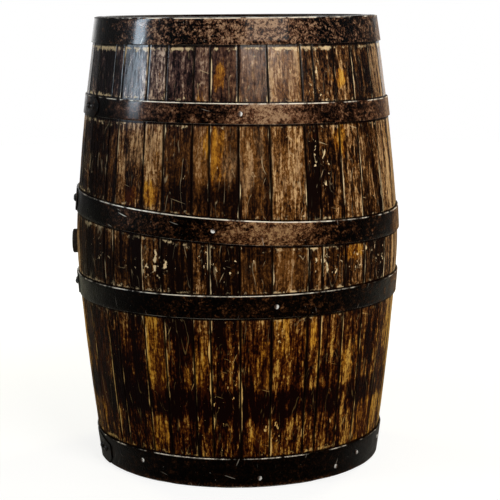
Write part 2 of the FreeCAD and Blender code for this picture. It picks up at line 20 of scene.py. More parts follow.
import bmesh
import bpy
import numpy as np
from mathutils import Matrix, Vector

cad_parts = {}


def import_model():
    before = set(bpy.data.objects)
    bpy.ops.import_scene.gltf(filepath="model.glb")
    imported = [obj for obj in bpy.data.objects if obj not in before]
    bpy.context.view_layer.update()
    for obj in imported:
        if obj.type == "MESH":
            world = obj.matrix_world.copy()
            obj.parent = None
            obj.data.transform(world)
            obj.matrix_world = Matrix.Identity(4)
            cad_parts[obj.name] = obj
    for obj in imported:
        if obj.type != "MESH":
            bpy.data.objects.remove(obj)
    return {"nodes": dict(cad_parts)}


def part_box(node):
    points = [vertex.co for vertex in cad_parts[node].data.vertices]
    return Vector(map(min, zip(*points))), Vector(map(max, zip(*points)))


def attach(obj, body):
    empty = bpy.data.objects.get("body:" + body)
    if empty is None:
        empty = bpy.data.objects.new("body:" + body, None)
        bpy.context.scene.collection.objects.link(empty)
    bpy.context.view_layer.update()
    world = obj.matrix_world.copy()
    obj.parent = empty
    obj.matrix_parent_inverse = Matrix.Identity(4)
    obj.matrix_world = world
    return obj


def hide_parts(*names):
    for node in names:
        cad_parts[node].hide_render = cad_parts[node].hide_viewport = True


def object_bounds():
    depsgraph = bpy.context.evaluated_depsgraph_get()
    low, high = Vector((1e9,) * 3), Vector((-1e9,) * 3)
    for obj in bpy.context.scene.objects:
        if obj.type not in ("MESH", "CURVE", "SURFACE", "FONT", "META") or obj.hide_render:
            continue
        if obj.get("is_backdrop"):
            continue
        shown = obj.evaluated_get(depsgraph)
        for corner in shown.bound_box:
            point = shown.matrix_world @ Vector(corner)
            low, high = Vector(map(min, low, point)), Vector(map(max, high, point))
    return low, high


LOG = logging.getLogger("cask")
MILLIMETRE = 0.001
MERGE_DISTANCE = 1e-6
CREASE = 40.0  # degrees from which an edge is shaded sharp
FULL_TURN = 360.0
FRONT = 270.0  # azimuth of the side that faces -Y
SEED = 1871

Piece = bpy.types.Object
Material = bpy.types.Material
Texture = bpy.types.Texture
Group = bpy.types.NodeTree
Node = bpy.types.Node
Plug = bpy.types.NodeSocket
Rows = np.ndarray  # numbers, or rows of them, for many points
Colour = tuple[float, float, float]


class Body(Enum):
    """The bodies that pieces ride on."""

    CASK = "cask"
    BUNG = "bung"
    TAP_KEY = "tap_key"


class Layer(Enum):
    """Kinds of attribute, each with the property that holds its values."""

    NUMBER = ("FLOAT", "value")
    VECTOR = ("FLOAT_VECTOR", "vector")
    COLOUR = ("FLOAT_COLOR", "color")


# ---------------- modelling by hand


def activate(piece: Piece) -> None:
    """Select one piece alone and make it active.

    Args:
        piece: The object.
    """
    for other in bpy.context.selected_objects:
        other.select_set(False)
    bpy.context.view_layer.objects.active = piece
    piece.select_set(True)


@contextmanager
def editing(
    piece: Piece, mode: str = "VERT", everything: bool = False
) -> Iterator[None]:
    """Edit mode on one piece, with nothing or all of it selected at first.

    Args:
        piece: The object to edit.
        mode: VERT, EDGE or FACE.
        everything: Whether the whole piece is selected.

    Yields:
        Nothing, while the piece is in edit mode.
    """
    activate(piece)
    bpy.ops.object.mode_set(mode="EDIT")
    bpy.ops.mesh.select_mode(type=mode)
    bpy.ops.mesh.select_all(action="SELECT" if everything else "DESELECT")
    yield
    bpy.ops.object.mode_set(mode="OBJECT")


def select_whole() -> None:
    """Select the whole of the piece in edit mode."""
    bpy.ops.mesh.select_all(action="SELECT")


def pick_points(piece: Piece, test: Callable[[Vector], bool]) -> None:
    """Select just the vertices whose place passes a test, in edit mode.

    Args:
        piece: The object in edit mode.
        test: Says of a place whether it is wanted.
    """
    mesh = bmesh.from_edit_mesh(piece.data)
    for vertex in mesh.verts:
        vertex.select = test(vertex.co)
    mesh.select_flush_mode()
    bmesh.update_edit_mesh(piece.data)


def pick_edges(piece: Piece, test: Callable[[Vector, Vector], bool]) -> None:
    """Select just the edges whose two ends pass a test, in edit mode.

    Args:
        piece: The object in edit mode.
        test: Says of the places of two ends whether the edge is wanted.
    """
    mesh = bmesh.from_edit_mesh(piece.data)
    for edge in mesh.edges:
        edge.select = test(edge.verts[0].co, edge.verts[1].co)
    mesh.select_flush_mode()
    bmesh.update_edit_mesh(piece.data)


def clone(piece: Piece, name: str) -> Piece:
    """A copy of a piece with its own mesh.

    Args:
        piece: The object to copy.
        name: Name of the copy and of its mesh.

    Returns:
        The copy, at the origin and in the scene.
    """
    copy = bpy.data.objects.new(name, piece.data.copy())
    copy.data.name = name
    bpy.context.scene.collection.objects.link(copy)
    return copy


def discard(piece: Piece) -> None:
    """Delete a helper piece."""
    bpy.data.objects.remove(piece, do_unlink=True)


def apply_modifier(piece: Piece, kind: str, **settings: object) -> None:
    """Add one modifier, set it up and apply it.

    Args:
        piece: The object to change.
        kind: The modifier's type, such as BEVEL.
        settings: Values of the modifier's own properties.
    """
    activate(piece)
    modifier = piece.modifiers.new(kind.lower(), kind)
    for key, value in settings.items():
        setattr(modifier, key, value)
    bpy.ops.object.modifier_apply(modifier=modifier.name)


def round_edges(piece: Piece, width: float, degrees: float) -> None:
    """Round the edges that are sharper than an angle."""
    limit = math.radians(degrees)
    apply_modifier(
        piece, "BEVEL", width=width, segments=2, limit_method="ANGLE", angle_limit=limit
    )


def unevenness(name: str, grain: float) -> Texture:
    """A cloudy texture for slight dents.

    Args:
        name: Name of the texture.
        grain: Size of its features.

    Returns:
        The texture.
    """
    texture = bpy.data.textures.new(name, "CLOUDS")
    texture.noise_scale = grain
    texture.noise_depth = 2
    return texture


def make_uneven(
    piece: Piece,
    texture: Texture,
    depth: float,
    still: float,
    **settings: object,
) -> None:
    """Move a surface by a texture, whose level `still` moves nothing."""
    moves = {"texture_coords": "LOCAL", "strength": depth, "mid_level": still, **settings}
    apply_modifier(piece, "DISPLACE", texture=texture, **moves)


def weigh_points(piece: Piece, name: str, weights: Rows) -> None:
    """Make a vertex group.

    Args:
        piece: The object.
        name: Name of the group.
        weights: One weight for each vertex, which is left out where it is 0.
    """
    group = piece.vertex_groups.new(name=name)
    for index in np.flatnonzero(weights > 0):
        group.add([int(index)], float(weights[index]), "REPLACE")


def smooth(piece: Piece, degrees: float) -> None:
    """Shade a piece smooth, with edges sharper than an angle kept."""
    activate(piece)
    bpy.ops.object.shade_smooth_by_angle(angle=math.radians(degrees))


def settle_place(piece: Piece) -> None:
    """Move an object's place into its mesh."""
    activate(piece)
    bpy.ops.object.transform_apply(location=True, rotation=True, scale=True)


def read_rows(
    items: bpy.types.bpy_prop_collection, name: str, width: int, kind: type = np.float32
) -> Rows:
    """One property of all items of a mesh.

    Args:
        items: The vertices, edges, faces or corners.
        name: Name of the property.
        width: How many numbers it has.
        kind: Their type.

    Returns:
        One row for each item.
    """
    flat = np.zeros(len(items) * width, kind)
    items.foreach_get(name, flat)
    return flat.reshape(-1, width)


def coordinates(piece: Piece) -> Rows:
    """All vertices of a piece as rows of x, y and z."""
    return read_rows(piece.data.vertices, "co", 3).astype(float)


def write_layer(
    piece: Piece,
    name: str,
    rows: Rows,
    layer: Layer = Layer.NUMBER,
    domain: str = "POINT",
) -> None:
    """Store an attribute.

    Args:
        piece: The object.
        name: Name of the attribute.
        rows: One value for each vertex or corner.
        layer: The kind of value.
        domain: POINT or CORNER.
    """
    kind, holder = layer.value
    attribute = piece.data.attributes.new(name, kind, domain)
    attribute.data.foreach_set(holder, np.asarray(rows, np.float32).ravel())


def write_numbers(piece: Piece, **layers: Rows) -> None:
    """Store attributes by name, with one number for each vertex."""
    for name, rows in layers.items():
        write_layer(piece, name, rows)


def put_on(
    piece: Piece, finish: Material, body: Body, node: str
) -> None:
    """Give a piece its finish and its body, and hide the solid that it replaces.

    Args:
        piece: The finished object.
        finish: Its only material.
        body: The body that it rides on.
        node: The solid that it replaces.
    """
    piece.data.materials.clear()
    piece.data.materials.append(finish)
    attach(piece, body.value)
    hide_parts(node)
    LOG.info("%s: %d faces, rides on %s", piece.name, len(piece.data.polygons), body.value)


# ---------------- the shape of the cask


def turn_of(points: Rows) -> Rows:
    """Azimuths of points in degrees, anticlockwise from +X."""
    return np.degrees(np.arctan2(points[:, 1], points[:, 0])) % FULL_TURN


def azimuth_of(point: Vector) -> float:
    """Azimuth of one point, between -180 and 180 degrees."""
    return math.degrees(math.atan2(point.y, point.x))


def outward_at(azimuth: float) -> Vector:
    """Level direction away from the cask axis at an azimuth in degrees."""
    turn = math.radians(azimuth)
    return Vector((math.cos(turn), math.sin(turn), 0))


def turn_between(azimuth: Rows | float, start: Rows | float) -> Rows:
    """Signed turn from one azimuth to others, between -180 and 180 degrees."""
    return (np.asarray(azimuth) - start + 180.0) % FULL_TURN - 180.0


@dataclass(frozen=True)
class BowArc:
    """One arc of the bowed outer face of the staves."""

    centre_radius: float
    centre_height: float
    bend_radius: float

    def radius_at(self, height: Rows | float) -> Rows | float:
        """Distance from the cask axis."""
        rise = height - self.centre_height
        return self.centre_radius + np.sqrt(self.bend_radius**2 - rise**2)


@dataclass
class Bow:
    """The outer face of the staves: a tight bend at mid height and a slack arc to each end."""

    height: float
    bilge_radius: float
    top_radius: float
    bottom_radius: float
    bilge_bend: float = 0.8
    joint_slope_share: float = 0.73

    @classmethod
    def from_frame(cls, stave: str) -> Bow:
        """Measure the bow on one stave of the frame.

        Args:
            stave: Name of its solid.

        Returns:
            The bow.
        """
        low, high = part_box(stave)
        rows = coordinates(bpy.data.objects[stave])
        distance = np.hypot(rows[:, 0], rows[:, 1])
        edge = MILLIMETRE / 10
        middle_reach = 0.1 * high.z
        top = distance[rows[:, 2] > high.z - edge].max()
        bottom = distance[rows[:, 2] < low.z + edge].max()
        middle = distance[abs(rows[:, 2] - (low.z + high.z) / 2) < middle_reach].max()
        return cls(high.z - low.z, float(middle), float(top), float(bottom))

    def joint_rise(self, end_radius: float) -> float:
        """Distance from mid height to where the tight bend gives way to an end arc."""
        slope = self.joint_slope_share * (self.bilge_radius - end_radius) / (self.height / 2)
        return self.bilge_bend * slope / math.hypot(1, slope)

    def bilge_arc(self) -> BowArc:
        """The tight bend."""
        return BowArc(self.bilge_radius - self.bilge_bend, self.height / 2, self.bilge_bend)

    def end_arc(self, joint: float, end_radius: float, end_height: float) -> BowArc:
        """The arc that leaves the tight bend tangentially and ends at the stave end.

        Args:
            joint: Height at which it leaves the tight bend.
            end_radius: Radius at the stave end.
            end_height: Height of the stave end.

        Returns:
            The arc.
        """
        bilge = self.bilge_arc()
        start = float(bilge.radius_at(joint))
        normal_radius = (start - bilge.centre_radius) / bilge.bend_radius
        normal_height = (joint - bilge.centre_height) / bilge.bend_radius
        step_radius = end_radius - start
        step_height = end_height - joint
        along = step_radius * normal_radius + step_height * normal_height
        bend = -(step_radius**2 + step_height**2) / (2 * along)
        return BowArc(start - bend * normal_radius, joint - bend * normal_height, bend)

    @cached_property
    def table(self) -> tuple[Rows, Rows]:
        """The outer radius at close heights.

        Returns:
            Heights a millimetre apart, and the radius at each.
        """
        rise = np.linspace(0.0, self.height, round(self.height / MILLIMETRE) + 1)
        low_joint = self.height / 2 - self.joint_rise(self.bottom_radius)
        high_joint = self.height / 2 + self.joint_rise(self.top_radius)
        lower = self.end_arc(low_joint, self.bottom_radius, 0.0).radius_at(rise)
        upper = self.end_arc(high_joint, self.top_radius, self.height).radius_at(rise)
        middle = self.bilge_arc().radius_at(np.clip(rise, low_joint, high_joint))
        radii = np.where(rise < low_joint, lower, np.where(rise > high_joint, upper, middle))
        return rise, radii

    def radius_at(self, height: Rows | float) -> Rows:
        """Outer radius of the wall at heights."""
        return np.interp(height, *self.table)

    def is_outer(self, rows: Rows, depth: float) -> Rows:
        """Which points lie less deep than a depth under the outer face."""
        return np.hypot(rows[:, 0], rows[:, 1]) > self.radius_at(rows[:, 2]) - depth


@dataclass(frozen=True)
class HoopPlan:
    """Where one hoop lies; its middle and tilt come from the frame."""

    node: str
    width: float
    lap_end: float  # azimuth
    lap_length: float
    lap_slant: float = 0.0
    high_side: float = 180.0
    rust: float = 0.0  # how much browner it is than the others
    mottle: float = 1.0  # how strongly its rust varies

    @property
    def middle(self) -> float:
        """Height of the middle of the hoop."""
        low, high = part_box(self.node)
        return (low.z + high.z) / 2

    @property
    def rise(self) -> float:
        """How far the tilt lifts its high side."""
        low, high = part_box(self.node)
        return max((high.z - low.z - self.width) / 2, 0.0)

    def height_at(self, azimuth: Rows | float) -> Rows:
        """Height of its centre line at azimuths in degrees."""
        return self.middle + self.rise * np.cos(np.radians(np.asarray(azimuth) - self.high_side))


HOOPS = (
    HoopPlan("top_head_hoop", 0.0495, lap_end=165.0, lap_length=0.095, rust=0.05, mottle=1.6),
    HoopPlan("upper_quarter_hoop", 0.038, lap_end=210.0, lap_length=0.095, rust=0.19, mottle=0.9),
    HoopPlan(
        "upper_bilge_hoop",
        0.045,
        lap_end=192.0,
        lap_length=0.105,
        high_side=152.0,
        rust=0.04,
        mottle=0.95,
    ),
    HoopPlan("lower_bilge_hoop", 0.044, lap_end=190.0, lap_length=0.105, rust=0.02, mottle=0.85),
    HoopPlan(
        "bottom_head_hoop",
        0.058,
        lap_end=208.5,
        lap_length=0.095,
        lap_slant=0.044,
        rust=-0.03,
        mottle=0.6,
    ),
)


# ---------------- places of wear and of painted light


@dataclass(frozen=True)
class Patch:
    """A soft oval area on the wall of the cask, for wear and for painted light and shade."""

    azimuth: float
    height: float
    half_turn: float
    half_height: float
    strength: float = 1.0

    def cover(self, azimuth: Rows, height: Rows) -> Rows:
        """How strongly points are in the patch.

        Args:
            azimuth: Azimuths of the points in degrees.
            height: Their heights.

        Returns:
            The patch's strength in its middle, falling to 0 outside.
        """
        across = turn_between(azimuth, self.azimuth) / self.half_turn
        along = (height - self.height) / self.half_height
        return self.strength * np.exp(-0.7 * np.hypot(across, along) ** 3)


def patches(*rows: tuple[float, ...]) -> tuple[Patch, ...]:
    """Patches from rows of azimuth, height, half turn, half height and strength."""
    return tuple(Patch(*row) for row in rows)


# wood gone pale and dry; the patch at the right silhouette is painted rim light
DRY_WOOD_AND_RIM_LIGHT = patches(
    (279, 0.80, 15, 0.06, 0.35),
    (220, 0.81, 3, 0.04, 0.45),
    (272, 0.64, 9, 0.09, 0.5),
    (286, 0.63, 5, 0.08, 0.4),
    (230, 0.655, 5, 0.055, 0.5),
    (239, 0.66, 4, 0.045, 0.5),
    (283, 0.435, 10, 0.045, 0.35),
    (338, 0.79, 6, 0.05, 0.6),
    (318, 0.61, 8, 0.07, 0.3),
    (351, 0.55, 10, 0.35, 0.4),
    (14, 0.62, 20, 0.16, 0.4),
    (60, 0.42, 24, 0.10, 0.45),
    (95, 0.75, 16, 0.08, 0.5),
    (140, 0.62, 14, 0.10, 0.5),
)
# wood where the golden oak shows through; the patch at the left silhouette is painted rim light
GOLDEN_WOOD_AND_RIM_LIGHT = patches(
    (264, 0.79, 2, 0.03, 0.8),
    (311, 0.785, 4, 0.015, 1.0),
    (231, 0.565, 3, 0.02, 0.8),
    (238, 0.57, 3, 0.02, 0.8),
    (263, 0.65, 3, 0.055, 0.6),
    (309, 0.67, 2, 0.03, 0.9),
    (313, 0.455, 5, 0.015, 0.9),
    (240, 0.27, 5, 0.075, 1.0),
    (255, 0.24, 6, 0.06, 0.55),
    (279, 0.24, 3.5, 0.065, 0.5),
    (285, 0.30, 4, 0.05, 0.4),
    (296, 0.305, 2.5, 0.03, 0.8),
    (316, 0.22, 10, 0.06, 0.3),
    (206, 0.25, 9, 0.07, 0.5),
    (207, 0.14, 5, 0.05, 0.8),
    (239, 0.105, 5, 0.03, 0.9),
    (264, 0.10, 7, 0.03, 0.45),
    (278, 0.10, 5, 0.03, 0.8),
    (326, 0.105, 8, 0.05, 0.8),
    (20, 0.25, 12, 0.07, 0.6),
    (75, 0.62, 7, 0.06, 0.6),
    (120, 0.25, 10, 0.08, 0.6),
    (165, 0.33, 6, 0.05, 0.5),
    (189, 0.21, 6, 0.13, 0.5),
)
# wood stained nearly black
DARK_WOOD = patches(
    (209, 0.79, 9, 0.05, 0.6),
    (205, 0.62, 9, 0.10, 0.5),
    (221, 0.575, 6, 0.03, 0.5),
    (258, 0.57, 14, 0.022, 0.6),
    (222, 0.44, 14, 0.05, 0.45),
    (224, 0.245, 9, 0.085, 0.75),
    (249, 0.32, 4, 0.028, 0.6),
    (299, 0.62, 5, 0.08, 0.45),
    (256, 0.17, 26, 0.026, 0.9),
    (295, 0.16, 18, 0.022, 0.55),
    (318, 0.15, 12, 0.03, 0.15),
    (40, 0.16, 30, 0.03, 0.7),
    (110, 0.15, 30, 0.03, 0.7),
    (50, 0.80, 14, 0.05, 0.5),
    (130, 0.45, 12, 0.05, 0.5),
)
# wood with many chips
CHIPPED_WOOD = patches(
    (241, 0.44, 13, 0.03, 0.85),
    (218, 0.44, 7, 0.03, 0.5),
    (264, 0.445, 14, 0.03, 0.8),
    (302, 0.435, 12, 0.03, 0.85),
    (300, 0.63, 5, 0.10, 0.8),
    (299, 0.79, 6, 0.05, 0.8),
    (283, 0.30, 4, 0.05, 0.6),
    (282, 0.11, 10, 0.03, 0.8),
    (262, 0.21, 8, 0.06, 0.5),
    (322, 0.45, 14, 0.05, 0.7),
    (60, 0.55, 20, 0.10, 0.7),
    (150, 0.44, 20, 0.04, 0.8),
)
# wood whose grain hardly shows
CALM_WOOD = patches(
    (276, 0.80, 24, 0.10),
    (264, 0.63, 26, 0.10),
    (284, 0.44, 16, 0.05, 0.9),
    (216, 0.61, 10, 0.09, 0.7),
    (212, 0.43, 18, 0.05, 0.6),
    (282, 0.27, 5, 0.08, 0.6),
    (60, 0.62, 20, 0.12, 0.8),
    (140, 0.42, 20, 0.10, 0.8),
    (20, 0.80, 18, 0.08, 0.7),
)
# wood whose stain has a plum cast
PLUM_WOOD = patches(
    (228, 0.82, 42, 0.10),
)
# hoop steel filmed brown with dust, and painted light:
# the patches at the front paint the sheen of the front lamp, the one at the right silhouette rim
# light
BLOOM_AND_PAINTED_SHEEN = patches(
    (279, 0.877, 19, 0.06, 1.0),
    (262, 0.877, 5, 0.06, 0.4),
    (246, 0.877, 17, 0.06, 0.3),
    (335, 0.87, 10, 0.06, 0.5),
    (282, 0.735, 12, 0.06, 0.85),
    (280, 0.508, 16, 0.06, 1.0),
    (331, 0.71, 9, 0.05, 0.35),
    (351, 0.6, 11, 0.5, 1.2),
    (60, 0.6, 30, 0.4, 0.5),
    (130, 0.3, 20, 0.35, 0.4),
    (270, 0.0, 400, 0.007, 0.7),
)
# hoop steel that stays black, on the left of the hoops, where it also paints shade
BLACK_STEEL_AND_PAINTED_SHADE = patches(
    (208, 0.5, 12, 0.2, 0.22),
    (215, 0.38, 26, 0.06, 0.25),
    (206, 0.877, 9, 0.06, 0.3),
    (212, 0.725, 14, 0.05, 0.24),
)
# stretches where the edges of the hoops are rubbed bright; the one at the front also paints the
# front lamp's glint on the edges
RUBBED_EDGES_AND_GLINTS = patches((264, 0.5, 34, 3.0), (70, 0.5, 30, 3.0, 0.8))
# how much lighter or darker stretches of the wall are, in bands by height and on some staves;
# the stripes at both silhouettes are painted rim light, the front patch painted lamp light, the
# left ones painted shade
TONES_AND_PAINTED_LIGHT = patches(
    (270, 0.81, 400, 0.09, 0.05),
    (270, 0.62, 400, 0.10, 0.04),
    (270, 0.43, 400, 0.05, -0.08),
    (204, 0.50, 14, 0.4, -0.10),
    (187, 0.22, 8, 0.18, 0.42),
    (187, 0.44, 9, 0.05, 0.45),
    (351, 0.45, 11, 0.5, 0.35),
    (352, 0.16, 10, 0.16, 0.25),
    (264, 0.72, 26, 0.20, 0.11),
    (220, 0.81, 15, 0.09, -0.12),
    (312, 0.61, 16, 0.09, 0.06),
    (287, 0.80, 7, 0.08, -0.08),
    (287, 0.63, 7, 0.09, -0.14),
    (262, 0.64, 7, 0.08, 0.05),
    (312, 0.80, 16, 0.08, -0.12),
)


def patch_cover(areas: Sequence[Patch], azimuth: Rows, height: Rows) -> Rows:
    """The strongest cover of any patch at points on the wall."""
    return np.max([patch.cover(azimuth, height) for patch in areas], axis=0)


# heights between which the polish of hands and cloths comes in
POLISHED_HEIGHTS = (0.42, 0.80)


def polish_at(height: Rows) -> Rows:
    """How polished the wall and its hoops are, from 0 to 1."""
    return np.interp(height, POLISHED_HEIGHTS, (0.0, 1.0))


@dataclass(frozen=True)
class LostHoop:
    """The band of wood that a hoop, now missing, once covered."""

    middle: float = 0.167
    half_width: float = 0.026
    edge_width: float = 0.009
    mean_depth: float = 0.62
    swing: float = 0.38  # how much darker it is at its darkest than on average
    darkest: float = 228.0  # azimuth

    def cover(self, height: Rows) -> Rows:
        """How strongly heights are in the band, with soft edges."""
        distance = abs(height - self.middle) - self.half_width
        return np.clip(0.5 - distance / self.edge_width, 0.0, 1.0)

    def depth_at(self, azimuth: Rows) -> Rows:
        """How dark the band is round the cask, up to 1."""
        turn = np.radians(turn_between(azimuth, self.darkest))
        return self.mean_depth + self.swing * np.cos(turn)


@dataclass(frozen=True)
class HoopRub:
    """The wood beside each hoop, rubbed bare where the hoop was driven on."""

    crest: float = 3.5  # millimetres from the hoop to where the rub is strongest
    reach: float = 7.5  # millimetres
    core: float = 1.25
    faintest: float = 0.35  # the least that one stave is rubbed
    heights: tuple[float, float] = (0.75, 0.83)
    strengths: tuple[float, float] = (0.62, 0.92)  # below and above those heights

    def at(self, gap: Rows, height: Rows, luck: float) -> Rows:
        """How rubbed points are by their distance from a hoop, their height and luck."""
        rub = np.clip(self.core - abs(gap - self.crest) / self.reach, 0.0, 1.0)
        return rub * luck * np.interp(height, self.heights, self.strengths)


# ---------------- shader sheets


Source = object  # a node socket, or a constant for the socket that it feeds


class Sheet:
    """Adds nodes to one node tree and wires them."""

    def __init__(self, tree: Group) -> None:
        """Start with an empty tree."""
        self.tree = tree
        tree.nodes.clear()

    def add(self, kind: str, **settings: object) -> Node:
        """Add a node.

        Args:
            kind: Its type.
            settings: Values of its properties.

        Returns:
            The node.
        """
        node = self.tree.nodes.new(kind)
        for key, value in settings.items():
            setattr(node, key, value)
        return node

    def feed(self, socket: Plug, source: Source) -> None:
        """Link a socket to another, or set its constant.

        Args:
            socket: The input.
            source: An output, or a constant.
        """
        if isinstance(source, Plug):
            self.tree.links.new(source, socket)
        elif isinstance(source, tuple) and socket.type == "RGBA" and len(source) == 3:
            socket.default_value = (*source, 1.0)
        else:
            socket.default_value = source

    def fill(self, node: Node, **sources: Source) -> Node:
        """Feed inputs of a node by name; an underscore stands for a space in a name.

        Args:
            node: The node.
            sources: A source for each named input.

        Returns:
            The node.
        """
        for name, source in sources.items():
            self.feed(node.inputs[name.replace("_", " ")], source)
        return node

    def maths(self, operation: str, *terms: Source, clamp: bool = False) -> Plug:
        """One step of arithmetic.

        Args:
            operation: Its name, such as ADD.
            terms: Up to three terms.
            clamp: Whether the result is held between 0 and 1.

        Returns:
            The result.
        """
        node = self.add("ShaderNodeMath", operation=operation, use_clamp=clamp)
        for socket, term in zip(node.inputs, terms):
            self.feed(socket, term)
        return node.outputs[0]

    def times(self, first: Source, second: Source) -> Plug:
        """Two sources multiplied."""
        return self.maths("MULTIPLY", first, second)

    def most(self, first: Source, second: Source) -> Plug:
        """The larger of two sources."""
        return self.maths("MAXIMUM", first, second)

    def weighed(self, base: Source, *terms: tuple[Source, Source]) -> Plug:
        """A base and sources by their weights, added up.

        Args:
            base: What the sum starts from.
            terms: Each source with its weight.

        Returns:
            The sum.
        """
        for source, weight in terms:
            base = self.maths("MULTIPLY_ADD", source, weight, base)
        return base

    def step(self, value: Source, low: float, high: float) -> Plug:
        """A soft step from 0 to 1, or from 1 to 0 where high is below low.

        Args:
            value: What is compared.
            low: Where the step starts at 0.
            high: Where the step ends at 1.

        Returns:
            The step.
        """
        node = self.add("ShaderNodeMapRange", interpolation_type="SMOOTHSTEP")
        ends = (low, high, 0.0, 1.0) if low < high else (high, low, 1.0, 0.0)
        for socket, source in zip(node.inputs, (value, *ends)):
            self.feed(socket, source)
        return node.outputs[0]

    def stretch(
        self, place: Source, scale: Colour, turn: Colour = (0, 0, 0)
    ) -> Plug:
        """A place scaled and turned, for a pattern with a direction.

        Args:
            place: The place.
            scale: How fine the pattern is along each axis.
            turn: Degrees about each axis.

        Returns:
            The place in the pattern.
        """
        node = self.fill(self.add("ShaderNodeMapping"), Vector=place)
        node.inputs["Scale"].default_value = scale
        node.inputs["Rotation"].default_value = [math.radians(angle) for angle in turn]
        return node.outputs[0]

    def noise(
        self,
        place: Source,
        scale: Source,
        detail: float = 3.0,
        rough: float = 0.5,
        bend: float = 0.0,
    ) -> Plug:
        """Cloudy noise.

        Args:
            place: Where it is read.
            scale: How fine it is, or how fine along each axis.
            detail: How many finer layers it has.
            rough: How strong the finer layers are.
            bend: How much it is distorted.

        Returns:
            A value between 0 and 1.
        """
        if isinstance(scale, tuple):
            place, scale = self.stretch(place, scale), 1.0
        node = self.fill(self.add("ShaderNodeTexNoise"), Vector=place, Scale=scale)
        self.fill(node, Detail=detail, Roughness=rough, Distortion=bend)
        return node.outputs["Fac"]

    def blend(
        self, share: Source, under: Source, over: Source, way: str = "MIX"
    ) -> Plug:
        """One colour over another.

        Args:
            share: How much of the upper colour shows.
            under: The lower colour.
            over: The upper colour.
            way: How they blend.

        Returns:
            The colour.
        """
        node = self.add("ShaderNodeMix", data_type="RGBA", blend_type=way)
        self.feed(node.inputs["Factor"], share)
        self.feed(node.inputs[6], under)
        self.feed(node.inputs[7], over)
        return node.outputs[2]

    def ramp(self, value: Source, *stops: tuple[float, Colour]) -> Plug:
        """A colour read off a row of stops.

        Args:
            value: Where the row is read.
            stops: Values, each with its colour.

        Returns:
            The colour.
        """
        node = self.add("ShaderNodeValToRGB")
        row = node.color_ramp.elements
        while len(row) < len(stops):
            row.new(1.0)
        for element, (position, colour) in zip(row, stops):
            element.position = position
            element.color = (*colour, 1.0)
        self.feed(node.inputs[0], value)
        return node.outputs["Color"]

    def attribute(self, name: str, output: str = "Fac") -> Plug:
        """An attribute of the mesh."""
        return self.add("ShaderNodeAttribute", attribute_name=name).outputs[output]

    def bump(self, height: Source, depth: float, strength: float) -> Plug:
        """Relief from a height.

        Args:
            height: The height, between 0 and 1.
            depth: What a height of 1 is in metres.
            strength: How much of the relief shows.

        Returns:
            The normal.
        """
        node = self.fill(self.add("ShaderNodeBump"), Height=height)
        self.fill(node, Strength=strength, Distance=depth)
        return node.outputs["Normal"]

    def use(self, group: Group, **sources: Source) -> Node:
        """A node group with its inputs fed."""
        return self.fill(self.add("ShaderNodeGroup", node_tree=group), **sources)

    def mask(self, group: Group, **sources: Source) -> Plug:
        """The mask that a node group gives."""
        return self.use(group, **sources).outputs["Mask"]


class Socket(Enum):
    """Kinds of socket that a shader group has."""

    VALUE = "NodeSocketFloat"
    VECTOR = "NodeSocketVector"


class EffectGroup:
    """A shader node group that several finishes use."""

    def __init__(self, name: str, outputs: Sequence[str], **inputs: Socket) -> None:
        """Make the group and its sockets.

        Args:
            name: Name of the group.
            outputs: Names of its outputs, which are all values.
            inputs: Names and kinds of its inputs.
        """
        self.tree = bpy.data.node_groups.new(name, "ShaderNodeTree")
        sockets = self.tree.interface
        for socket, kind in inputs.items():
            sockets.new_socket(socket, in_out="INPUT", socket_type=kind.value)
        for socket in outputs:
            sockets.new_socket(socket, in_out="OUTPUT", socket_type=Socket.VALUE.value)
        self.sheet = Sheet(self.tree)
        self.inputs = self.sheet.add("NodeGroupInput").outputs
        self.outputs = self.sheet.add("NodeGroupOutput")

    def finish(self, **results: Source) -> Group:
        """Wire the outputs and return the group."""
        self.sheet.fill(self.outputs, **results)
        return self.tree


